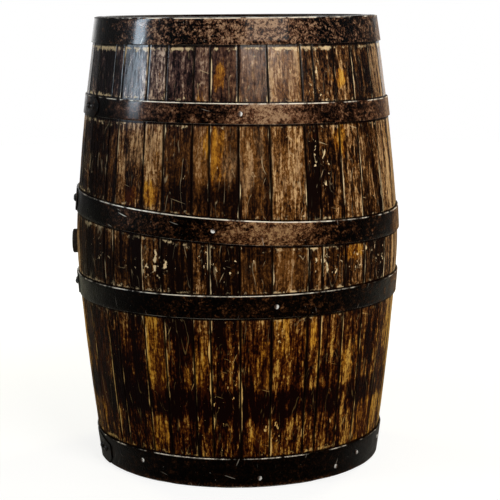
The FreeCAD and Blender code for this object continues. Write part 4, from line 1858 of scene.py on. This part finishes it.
    def planed(self, stave: Piece, node: str) -> None:
        """Plane the outer face of a stave flatter across its width.

        Args:
            stave: The stave.
            node: Name of its solid.
        """
        rows = coordinates(stave)
        start, end = self.span(node)
        half = math.radians(end - start) / 2
        offset = np.radians(turn_between(turn_of(rows), (start + end) / 2)) / half
        outer = self.bow.is_outer(rows, self.plane_reach)
        weigh_points(stave, "crown", np.where(outer, 1.0 - offset**2, 0.0))
        depth = -self.flatness * self.bow.bilge_radius * (1 - math.cos(half))
        apply_modifier(stave, "DISPLACE", strength=depth, mid_level=0.0, vertex_group="crown")
        stave.vertex_groups.clear()

    def dented(self, stave: Piece, texture: Texture) -> None:
        """Press slight dents into the outer face of a stave.

        Args:
            stave: The stave.
            texture: Where the dents are.
        """
        outer = self.bow.is_outer(coordinates(stave), self.dent_reach)
        weigh_points(stave, "outer", outer.astype(float))
        make_uneven(stave, texture, self.dent_depth, still=1.0, vertex_group="outer")
        stave.vertex_groups.clear()

    def bored(self, stave: Piece, centre: Vector, along: Vector, radius: float) -> None:
        """Bore a round hole through a stave.

        Args:
            stave: The stave to bore.
            centre: A point on the axis of the hole, in the wall.
            along: Direction of the axis.
            radius: Radius of the hole.
        """
        bpy.ops.mesh.primitive_cylinder_add(
            vertices=self.hole_sides,
            radius=radius,
            depth=4 * self.thickness,
            location=centre,
            rotation=along.to_track_quat("Z", "Y").to_euler(),
        )
        cutter = bpy.context.object
        settle_place(cutter)
        apply_modifier(stave, "BOOLEAN", operation="DIFFERENCE", object=cutter, solver="EXACT")
        discard(cutter)
        LOG.info("%s has its hole", stave.name)

    def opened(self, stave: Piece, node: str) -> None:
        """Give the bung's stave and the tap's stave their holes.

        Args:
            stave: Any stave.
            node: Name of its solid.
        """
        if node == "bung_stave":
            low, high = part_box("bung")
            centre = Vector((low.x, 0, (low.z + high.z) / 2))
            self.bored(stave, centre, Vector((-1, 0, 0)), (high.z - low.z) / 2)
        if node == "tap_stave":
            distance = float(self.bow.radius_at(self.tap_height)) - self.thickness / 2
            centre = Vector((0, distance, self.tap_height))
            self.bored(stave, centre, Vector((0, 1, 0)), self.tap_hole)

    def hoop_gap(self, azimuth: Rows, height: Rows) -> Rows:
        """How far points on the wall are from the nearest hoop, with the painted shadow line's
        extra reach taken off below it.

        Args:
            azimuth: Azimuths of the points in degrees.
            height: Their heights.

        Returns:
            Distances in millimetres, below 0 under a hoop.
        """
        gaps = []
        for hoop in self.hoops:
            above = height - hoop.height_at(azimuth)
            shade = np.where(above < 0, self.hoop_shade, 0.0)
            gaps.append(abs(above) - hoop.width / 2 - shade)
        return np.min(gaps, axis=0) / MILLIMETRE

    def mark(self, stave: Piece, node: str, dice: random.Random) -> None:
        """Write the attributes that the finish reads.

        Args:
            stave: The stave.
            node: Name of its solid.
            dice: Draws how it differs from its neighbours.
        """
        rows = coordinates(stave)
        start, end = self.span(node)
        centre = (start + end) / 2
        azimuth, height = turn_of(rows), rows[:, 2]
        radius = np.hypot(rows[:, 0], rows[:, 1])
        offset = turn_between(azimuth, centre)
        across = np.radians(offset) * self.bow.bilge_radius
        shift = dice.uniform(-self.grain_shift, self.grain_shift)
        lean = dice.uniform(-self.grain_lean, self.grain_lean)
        luck = dice.uniform(self.hoop_rub.faintest, 1.0)
        tone = dice.uniform(-self.tone_spread, self.tone_spread)
        place = np.stack([across + lean * height, radius + shift, height + shift], axis=1)
        write_layer(stave, "grain_place", place, Layer.VECTOR)
        snapped = centre + self.patch_slope * offset
        lost = self.lost_hoop.cover(height) * self.lost_hoop.depth_at(azimuth)
        # wear: dry, golden and dark wood; the dry and golden parts also hold painted rim light at
        # the silhouettes
        wear = np.ones((len(rows), 4))
        wear[:, 0] = patch_cover(DRY_WOOD_AND_RIM_LIGHT, snapped, height)
        wear[:, 1] = patch_cover(GOLDEN_WOOD_AND_RIM_LIGHT, azimuth, height)
        wear[:, 2] = np.maximum(patch_cover(DARK_WOOD, snapped, height), lost)
        write_layer(stave, "wear", wear, Layer.COLOUR)
        gap = self.hoop_gap(azimuth, height)
        write_numbers(
            stave,
            seam=np.radians((end - start) / 2 - abs(offset)) * radius / MILLIMETRE,
            hoop_gap=gap,
            hoop_rub=self.hoop_rub.at(gap, height, luck),
            # tone: each stave's own random tone, plus the painted rim light, front light and shade
            # of the patches
            tone=tone + sum(zone.cover(azimuth, height) for zone in TONES_AND_PAINTED_LIGHT),
            plum=patch_cover(PLUM_WOOD, azimuth, height),
            chipped=patch_cover(CHIPPED_WOOD, azimuth, height),
            calm=patch_cover(CALM_WOOD, snapped, height),
            foot=np.interp(height, self.foot_heights, (1.0, 0.0)),
            polish=polish_at(height),
        )

    def build(self, nodes: Sequence[str]) -> None:
        """Make every stave of the ring.

        Args:
            nodes: Names of their solids.
        """
        dice = random.Random(SEED)
        strip = self.section()
        texture = unevenness("stave_dents", self.dent_grain)
        for node in nodes:
            stave = self.spun(strip, node)
            self.rounded(stave, node)
            start, end = self.span(node)
            with editing(stave, everything=True):
                inward = -outward_at((start + end) / 2)
                bpy.ops.transform.translate(value=inward * dice.uniform(0.0, self.set_back))
            self.planed(stave, node)
            self.dented(stave, texture)
            self.opened(stave, node)
            self.mark(stave, node, dice)
            smooth(stave, CREASE)
            put_on(stave, self.finish, Body.CASK, node)
        discard(strip)


@dataclass
class HoopSet:
    """The riveted hoops of strip steel."""

    bow: Bow
    hoops: Sequence[HoopPlan]
    finish: Material
    clearance: float = 0.0003
    strip: float = 0.002  # thickness
    edge_round: float = 0.0005
    edge_angle: float = 50.0  # degrees from which an edge is rounded
    rows: int = 6
    sectors: int = 220
    lap_sectors: int = 36
    form_rows: int = 90
    form_sectors: int = 360
    edge_wander: float = 0.0012
    wander_grain: float = 0.07
    lap_ramp: float = 0.022
    ramp_shares: tuple[float, ...] = (0.75, 0.5, 0.25)
    ramp_sink: float = 0.32  # of the strip's thickness, for each share
    clip_share: float = 0.28
    pattern_step: float = 7.0  # from one hoop to the next in the pattern of the rust
    base_tone: float = 0.16
    lower_edge: float = 1.4  # millimetres by which a lower edge is rubbed less wide

    def raise_rows(self, low: float, width: float, rows: int) -> None:
        """Draw the selected foot of a strip up the bow, row by row, in edit mode.

        Args:
            low: Height of the foot.
            width: How far up the strip goes.
            rows: How many rows of faces that makes.
        """
        rise = width / rows
        for row in range(rows):
            before, after = self.bow.radius_at(np.array([low + row * rise, low + (row + 1) * rise]))
            bpy.ops.mesh.extrude_region_move(TRANSFORM_OT_translate={"value": (0, 0, rise)})
            scale_about_axis(float(after / before))

    def ring(self, low: float, width: float, rows: int, sectors: int) -> Piece:
        """A level ring that lies on the bow, with no thickness.

        Args:
            low: Height of its lower edge.
            width: Its height.
            rows: How many rows of faces it has.
            sectors: How many faces go round.

        Returns:
            The ring.
        """
        radius = float(self.bow.radius_at(low))
        bpy.ops.mesh.primitive_circle_add(vertices=sectors, radius=radius, location=(0, 0, low))
        ring = bpy.context.object
        settle_place(ring)
        with editing(ring, everything=True):
            self.raise_rows(low, width, rows)
            select_whole()
            bpy.ops.mesh.normals_make_consistent(inside=False)
        return ring

    def lap(self, plan: HoopPlan) -> Piece:
        """The outer layer of a hoop's lap, with its cut corners.

        Args:
            plan: The hoop.

        Returns:
            The plate, level and with no thickness yet.
        """
        radius = float(self.bow.radius_at(plan.middle))
        turn = plan.lap_length / radius
        half = plan.width / 2
        low = plan.middle - half
        bpy.ops.mesh.primitive_plane_add(size=plan.width, location=(radius, half, plan.middle))
        plate = bpy.context.object
        settle_place(plate)
        with editing(plate, everything=True):
            bpy.ops.mesh.delete(type="ONLY_FACE")
            pick_points(plate, lambda point: point.y > half or point.x > radius)
            bpy.ops.mesh.delete(type="VERT")
            select_whole()
            foot = float(self.bow.radius_at(low))
            bpy.ops.transform.translate(value=(foot - radius + half, 0, low - plan.middle))
            self.raise_rows(low, plan.width, self.rows)
            select_whole()
            turn_about_axis(math.radians(plan.lap_end) - turn)
            spin_about_axis(turn, self.lap_sectors)
        self.cut_corners(plate, plan, radius)
        return plate

    def cut_corners(self, plate: Piece, plan: HoopPlan, radius: float) -> None:
        """Cut the corners off the end of a lap plate.

        Args:
            plate: The plate.
            plan: Its hoop.
            radius: Radius of the wall at the middle of the hoop.
        """
        clip = plan.width * self.clip_share
        outward = outward_at(plan.lap_end)
        along = Vector((-outward.y, outward.x, 0))
        for side, back in ((-1, clip), (1, clip + plan.lap_slant)):
            rise = plan.middle + side * (plan.width / 2 - clip)
            corner = outward * radius + Vector((0, 0, rise))
            normal = (along * clip + Vector((0, 0, side * back))).normalized()
            with editing(plate, everything=True):
                bpy.ops.mesh.bisect(
                    plane_co=corner, plane_no=normal, clear_outer=True, use_fill=False
                )

    def tilted(self, piece: Piece, plan: HoopPlan) -> None:
        """Tip a level layer of a hoop up towards its high side.

        Args:
            piece: The layer.
            plan: The hoop.
        """
        if plan.rise < MILLIMETRE / 10:
            return
        angle = math.atan2(plan.rise, float(self.bow.radius_at(plan.middle)))
        high = math.radians(plan.high_side)
        activate(piece)
        piece.rotation_mode = "AXIS_ANGLE"
        piece.rotation_axis_angle = (angle, math.sin(high), -math.cos(high), 0)
        centre = Vector((0, 0, plan.middle))
        bpy.context.view_layer.update()
        piece.location = centre - piece.matrix_world.to_3x3() @ centre
        settle_place(piece)

    def ramped(self, plate: Piece, plan: HoopPlan) -> None:
        """Beat the inner end of a lap plate down to the layer below.

        Args:
            plate: The plate.
            plan: Its hoop.
        """
        radius = float(self.bow.radius_at(plan.middle))
        start = plan.lap_end - math.degrees(plan.lap_length / radius)
        sink = 1.0 - self.strip * self.ramp_sink / radius
        with editing(plate):
            for share in self.ramp_shares:
                reach = math.degrees(self.lap_ramp * share / radius)
                pick_points(
                    plate, lambda point: float(turn_between(azimuth_of(point), start)) < reach
                )
                scale_about_axis(sink)

    def thickened(self, piece: Piece) -> None:
        """Give an open layer of a hoop its thickness, outwards, and round its edges.

        Args:
            piece: The layer.
        """
        face = piece.data.polygons[0]
        if face.normal.x * face.center.x + face.normal.y * face.center.y < 0:
            with editing(piece, everything=True):
                bpy.ops.mesh.flip_normals()
        apply_modifier(piece, "SOLIDIFY", thickness=self.strip, offset=1.0)
        round_edges(piece, self.edge_round, self.edge_angle)

    def unroll(self, hoop: Piece, shift: float) -> None:
        """Write each face corner's place on the strip laid flat, which is cut at the back.

        Args:
            hoop: The hoop.
            shift: Where its strip lies in the pattern of the rust.
        """
        mesh = hoop.data
        corners = read_rows(mesh.loops, "vertex_index", 1, np.int32)[:, 0]
        sides = read_rows(mesh.polygons, "loop_total", 1, np.int32)[:, 0]
        middle = np.repeat(turn_of(read_rows(mesh.polygons, "center", 3)), sides)
        rows = coordinates(hoop)[corners]
        turn = turn_between(turn_of(rows), middle) + turn_between(middle, FRONT) + FULL_TURN / 2
        around = np.radians(turn) * self.bow.bilge_radius
        place = np.stack([around, np.full(len(rows), shift), rows[:, 2]], axis=1)
        write_layer(hoop, "grain_place", place, Layer.VECTOR, "CORNER")

    def mark(self, hoop: Piece, plan: HoopPlan) -> None:
        """Write the attributes that the finish reads.

        Args:
            hoop: The hoop.
            plan: Where it lies and how rusty it is.
        """
        rows = coordinates(hoop)
        azimuth, height = turn_of(rows), rows[:, 2]
        self.unroll(hoop, self.pattern_step * self.hoops.index(plan))
        above = (height - plan.height_at(azimuth)) / MILLIMETRE
        half = plan.width / 2 / MILLIMETRE
        write_numbers(
            hoop,
            edge=np.where(above > 0, half - above, (half + above) + self.lower_edge),
            bloom=patch_cover(BLOOM_AND_PAINTED_SHEEN, azimuth, height),
            rubbed=patch_cover(RUBBED_EDGES_AND_GLINTS, azimuth, height),
            polish=polish_at(height),
            mottle=np.full(len(rows), plan.mottle),
            # tone: lower on the left, where the black patches paint shade
            tone=self.base_tone + plan.rust - patch_cover(BLACK_STEEL_AND_PAINTED_SHADE, azimuth, height),
        )

    def build(self) -> None:
        """Make every hoop."""
        form = self.ring(0.0, self.bow.height, self.form_rows, self.form_sectors)
        wander = unevenness("strip_edges", self.wander_grain)
        for plan in self.hoops:
            low = plan.middle - plan.width / 2
            hoop = self.ring(low, plan.width, self.rows, self.sectors)
            plate = self.lap(plan)
            for piece, lift in ((hoop, 0.0), (plate, self.strip)):
                make_uneven(piece, wander, self.edge_wander, still=0.5, direction="Z")
                self.tilted(piece, plan)
                apply_modifier(
                    piece,
                    "SHRINKWRAP",
                    target=form,
                    wrap_method="NEAREST_SURFACEPOINT",
                    wrap_mode="OUTSIDE_SURFACE",
                    offset=self.clearance + lift,
                )
            self.ramped(plate, plan)
            with editing(plate, everything=True):
                bpy.ops.mesh.normals_make_consistent(inside=False)
            self.thickened(hoop)
            self.thickened(plate)
            activate(hoop)
            plate.select_set(True)
            bpy.ops.object.join()
            hoop.name = f"{plan.node}_strip"
            self.mark(hoop, plan)
            smooth(hoop, CREASE)
            put_on(hoop, self.finish, Body.CASK, plan.node)
        discard(form)


@dataclass(frozen=True)
class SoftenedPiece:
    """A piece that keeps the outline of its solid, with rounded edges and slight dents."""

    node: str
    finish: Material
    body: Body
    slot: str
    edge_round: float
    dents: float = 0.0
    fibres: str = "XYZ"  # the axes that take the places of across, depth and along
    flat_angle: float = 0.4  # degrees up to which faces are made one
    edge_angle: float = 32.0  # degrees from which an edge is rounded, or shaded sharp
    dent_grain: float = 0.012
    grain_shift: float = 40.0  # the most that the piece is shifted in the pattern of the grain

    def shell(self) -> Piece:
        """A merged copy of the solid, with its flat faces whole.

        Returns:
            The copy.
        """
        piece = clone(bpy.data.objects[self.node], f"{self.node}_worn")
        with editing(piece, everything=True):
            bpy.ops.mesh.remove_doubles(threshold=MERGE_DISTANCE)
            bpy.ops.mesh.dissolve_limited(angle_limit=math.radians(self.flat_angle))
        return piece

    def build(self, dice: random.Random) -> Piece:
        """Make the piece and put it on its body.

        Args:
            dice: Draws its place in the grain.

        Returns:
            The piece.
        """
        piece = self.shell()
        round_edges(piece, self.edge_round, self.edge_angle)
        if self.dents:
            texture = unevenness(f"{self.node}_dents", self.dent_grain)
            make_uneven(piece, texture, self.dents, still=0.9)
        order = ["XYZ".index(axis) for axis in self.fibres]
        shifts = [dice.uniform(-self.grain_shift, self.grain_shift) for _ in range(2)]
        place = coordinates(piece)[:, order] + np.array([0.0, *shifts])
        write_layer(piece, "grain_place", place, Layer.VECTOR)
        smooth(piece, self.edge_angle)
        put_on(piece, self.finish, self.body, self.node)
        return piece


@dataclass
class Fasteners:
    """The rivets and nails, as groups of separate heads."""

    bow: Bow
    rivet_finish: Material
    nail_finish: Material
    strip: float = 0.002  # thickness of the hoops
    crown_points: int = 6  # the outermost vertices of a head, with its crown in their middle

    @staticmethod
    def heads(piece: Piece) -> Rows:
        """Which separate head each vertex belongs to.

        Args:
            piece: The group.

        Returns:
            For each vertex, the least index of any vertex in the same head.
        """
        label = np.arange(len(piece.data.vertices))
        first, second = read_rows(piece.data.edges, "vertices", 2, np.int32).T
        while True:
            least = np.minimum(label[first], label[second])
            before = label.copy()
            np.minimum.at(label, first, least)
            np.minimum.at(label, second, least)
            if (label == before).all():
                return label

    def crowned(self, piece: Piece) -> None:
        """Write how near each vertex is to the crown of its own head.

        Args:
            piece: The group.
        """
        rows = coordinates(piece)
        outward = np.hypot(rows[:, 0], rows[:, 1]) - self.bow.radius_at(rows[:, 2])
        crown = np.zeros(len(rows))
        label = self.heads(piece)
        for least in np.unique(label):
            head = np.flatnonzero(label == least)
            top = rows[head][np.argsort(outward[head])[-self.crown_points :]].mean(axis=0)
            seen = outward[head] > self.strip
            reach = np.linalg.norm(rows[head] - top, axis=1)
            size = max(float(reach[seen].max()), MILLIMETRE)
            crown[head] = np.clip(1.0 - reach / size, 0.0, 1.0)
        write_numbers(piece, crown=crown)

    def build(self, dice: random.Random) -> None:
        """Make both groups.

        Args:
            dice: Draws their places in the grain.
        """
        for node, finish, slot, edge_round, dents in (
            ("hoop_rivets", self.rivet_finish, "rivet_steel", 0.0006, 0.0007),
            ("hoop_nails", self.nail_finish, "nail_steel", 0.0005, 0.0006),
        ):
            group = SoftenedPiece(node, finish, Body.CASK, slot, edge_round, dents)
            self.crowned(group.build(dice))


# ---------------- studio


class Glow(Enum):
    """What a lamp is for, with whether gloss sees it and whether it lights matt surfaces."""

    LIGHT = (False, True)
    HIGHLIGHT = (True, False)


@dataclass(frozen=True)
class Lamp:
    """One soft lamp that looks at a point."""

    name: str
    place: tuple[float, float, float]
    aim: tuple[float, float, float]
    size: tuple[float, float]
    power: float
    colour: Colour
    glow: Glow = Glow.LIGHT

    def build(self) -> None:
        """Hang the lamp."""
        light = bpy.data.lights.new(self.name, "AREA")
        light.shape = "RECTANGLE"
        light.size, light.size_y = self.size
        light.energy = self.power
        light.color = self.colour
        lamp = bpy.data.objects.new(self.name, light)
        lamp.location = self.place
        lamp.visible_camera = False
        lamp.visible_glossy, lamp.visible_diffuse = self.glow.value
        forward = Vector(self.aim) - Vector(self.place)
        lamp.rotation_euler = forward.to_track_quat("-Z", "Y").to_euler()
        bpy.context.scene.collection.objects.link(lamp)


WARM: Colour = (1.0, 0.96, 0.90)
COOL: Colour = (0.90, 0.95, 1.0)
DAYLIGHT: Colour = (0.72, 0.86, 1.0)
LEFT_GOLD: Colour = (1.0, 0.95, 0.60)
RIGHT_GOLD: Colour = (1.0, 0.95, 0.68)
LAMPS = (
    Lamp("front_softbox", (1.10, -2.30, 1.95), (0.0, 0.0, 0.66), (1.3, 1.0), 62.0, WARM),
    Lamp(
        "front_sheen",
        (1.00, -2.30, 1.90),
        (0.0, 0.0, 0.66),
        (1.5, 1.1),
        30.0,
        WARM,
        Glow.HIGHLIGHT,
    ),
    Lamp(
        "left_window",
        (-2.54, -0.56, 1.50),
        (0.0, 0.0, 0.75),
        (0.46, 2.0),
        34.0,
        DAYLIGHT,
        Glow.HIGHLIGHT,
    ),
    Lamp("left_fill", (-2.4, -1.1, 1.6), (0.0, 0.0, 0.6), (0.8, 1.4), 20.0, COOL),
    Lamp("right_fill", (2.4, -1.0, 1.3), (0.0, 0.0, 0.5), (0.8, 1.4), 9.0, WARM),
    Lamp("right_rim", (1.6, 2.1, 1.3), (0.1, 0.0, 0.5), (0.6, 1.6), 38.0, RIGHT_GOLD),
    Lamp("left_rim", (-1.7, 2.0, 1.2), (-0.1, 0.0, 0.45), (0.6, 1.6), 34.0, LEFT_GOLD),
)


@dataclass(frozen=True)
class Studio:
    """Floor, surroundings, lamps and camera."""

    lamps: tuple[Lamp, ...] = LAMPS
    floor_radius: float = 7.0
    floor_sides: int = 96
    world_light: float = 0.20
    backdrop_edge: tuple[float, float] = (0.80, 0.98)  # share of +Y where gloss starts to see it
    dim_side: float = 0.05  # what gloss sees elsewhere in the room
    camera_distance: float = 3.1
    camera_height: float = 0.928
    camera_pitch: float = 9.34  # degrees downwards
    camera_yaw: float = 0.47  # degrees towards +X
    camera_roll: float = 0.4  # degrees
    lens: float = 109.4  # millimetres
    sensor: float = 36.0  # millimetres

    def floor(self) -> None:
        """A wide pale floor."""
        bpy.ops.mesh.primitive_circle_add(
            vertices=self.floor_sides,
            radius=self.floor_radius,
            fill_type="NGON",
            location=(0, 0, 0),
        )
        floor = bpy.context.object
        floor.name = "studio_floor"
        floor.data.materials.append(StudioWhite().build())
        floor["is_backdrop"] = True

    def surroundings(self) -> None:
        """A plain world that lights softly and looks white, and that gloss sees only behind."""
        world = bpy.data.worlds.new("studio_world")
        world.use_nodes = True
        sheet = Sheet(world.node_tree)
        path = sheet.add("ShaderNodeLightPath").outputs
        way = sheet.add("ShaderNodeSeparateXYZ")
        sheet.feed(way.inputs[0], sheet.add("ShaderNodeTexCoord").outputs["Generated"])
        behind = sheet.step(way.outputs["Y"], *self.backdrop_edge)
        shine = sheet.times(path["Is Glossy Ray"], sheet.most(behind, self.dim_side))
        seen = sheet.most(path["Is Camera Ray"], path["Is Transmission Ray"])
        plain = sheet.maths("SUBTRACT", 1.0, path["Is Glossy Ray"])
        strength = sheet.most(sheet.most(seen, shine), sheet.times(plain, self.world_light))
        background = sheet.add("ShaderNodeBackground")
        sheet.fill(background, Color=(1.0, 1.0, 1.0), Strength=strength)
        sheet.fill(sheet.add("ShaderNodeOutputWorld"), Surface=background.outputs[0])
        bpy.context.scene.world = world

    def camera(self) -> None:
        """The camera, a little above the cask and pitched down."""
        lens = bpy.data.cameras.new("studio_camera")
        lens.lens = self.lens
        lens.sensor_width = self.sensor
        lens.sensor_fit = "HORIZONTAL"
        camera = bpy.data.objects.new("studio_camera", lens)
        camera.location = (0.0, -self.camera_distance, self.camera_height)
        pitch = math.radians(self.camera_pitch)
        yaw = math.radians(self.camera_yaw)
        forward = Vector(
            (math.sin(yaw) * math.cos(pitch), math.cos(yaw) * math.cos(pitch), -math.sin(pitch))
        )
        camera.rotation_euler = forward.to_track_quat("-Z", "Y").to_matrix().to_euler()
        camera.rotation_euler.rotate_axis("Z", -math.radians(self.camera_roll))
        bpy.context.scene.collection.objects.link(camera)
        bpy.context.scene.camera = camera

    def build(self) -> None:
        """Set up the whole studio."""
        self.floor()
        self.surroundings()
        for lamp in self.lamps:
            lamp.build()
        self.camera()
        bpy.context.scene.view_settings.view_transform = "Standard"


# ---------------- the whole


def box_rows(box: tuple[Vector, Vector]) -> list[list[float]]:
    """A box as two plain lists."""
    return [[float(value) for value in corner] for corner in box]


def main() -> list[list[float]]:
    """Build the cask and its studio.

    Returns:
        The box of the solids, before anything was added.
    """
    logging.basicConfig(level=logging.INFO, format="%(message)s")
    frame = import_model()
    solid_box = box_rows(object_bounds())
    names = sorted(frame["nodes"])
    dice = random.Random(SEED)
    effects = Effects()
    bow = Bow.from_frame("stave_16")
    LOG.info("bow: %s", bow)

    staves = [name for name in names if "stave" in name]
    StaveRing(bow, HOOPS, StaveOak().build(effects)).build(staves)
    HoopSet(bow, HOOPS, HoopSteel().build(effects)).build()

    head = PlainWood("head_oak", (0.19, 0.105, 0.048), (0.035, 0.018, 0.009), dirt=0.75)
    head_oak = head.build(effects)
    for name in names:
        if "head_board" in name:
            SoftenedPiece(name, head_oak, Body.CASK, "head_oak", 0.0012, fibres="YZX").build(dice)
    beech = PlainWood("dowel_beech", (0.55, 0.40, 0.25), (0.35, 0.22, 0.12), dirt=0.2)
    dowel = beech.build(effects)
    SoftenedPiece("head_dowels", dowel, Body.CASK, "dowel_beech", 0.0004, fibres="XZY").build(dice)

    rivet = FastenerSteel("rivet_steel", (0.60, 0.57, 0.52), (0.012, 0.008, 0.006), 0.45, 0.9)
    nail = FastenerSteel("nail_steel", (0.88, 0.86, 0.82), (0.05, 0.026, 0.016), 0.0, 0.35)
    Fasteners(bow, rivet.build(effects), nail.build(effects)).build(dice)

    plug = PlainWood("bung_wood", (0.060, 0.036, 0.020), (0.008, 0.005, 0.004), dirt=0.8, rough=0.7)
    bung_wood = plug.build(effects)
    SoftenedPiece("bung", bung_wood, Body.BUNG, "bung_wood", 0.0015, 0.0006, "ZXY").build(dice)
    tap = PlainWood("tap_wood", (0.46, 0.27, 0.12), (0.16, 0.075, 0.028), dirt=0.45).build(effects)
    SoftenedPiece("tap_body", tap, Body.CASK, "tap_wood", 0.0004, fibres="XZY").build(dice)
    SoftenedPiece("tap_key", tap, Body.TAP_KEY, "tap_wood", 0.0006, fibres="XYZ").build(dice)
    SoftenedPiece("tap_cork", CorkFinish().build(effects), Body.CASK, "cork", 0.0001).build(dice)

    Studio().build()
    return solid_box


if __name__ == "__main__":
    solids = main()
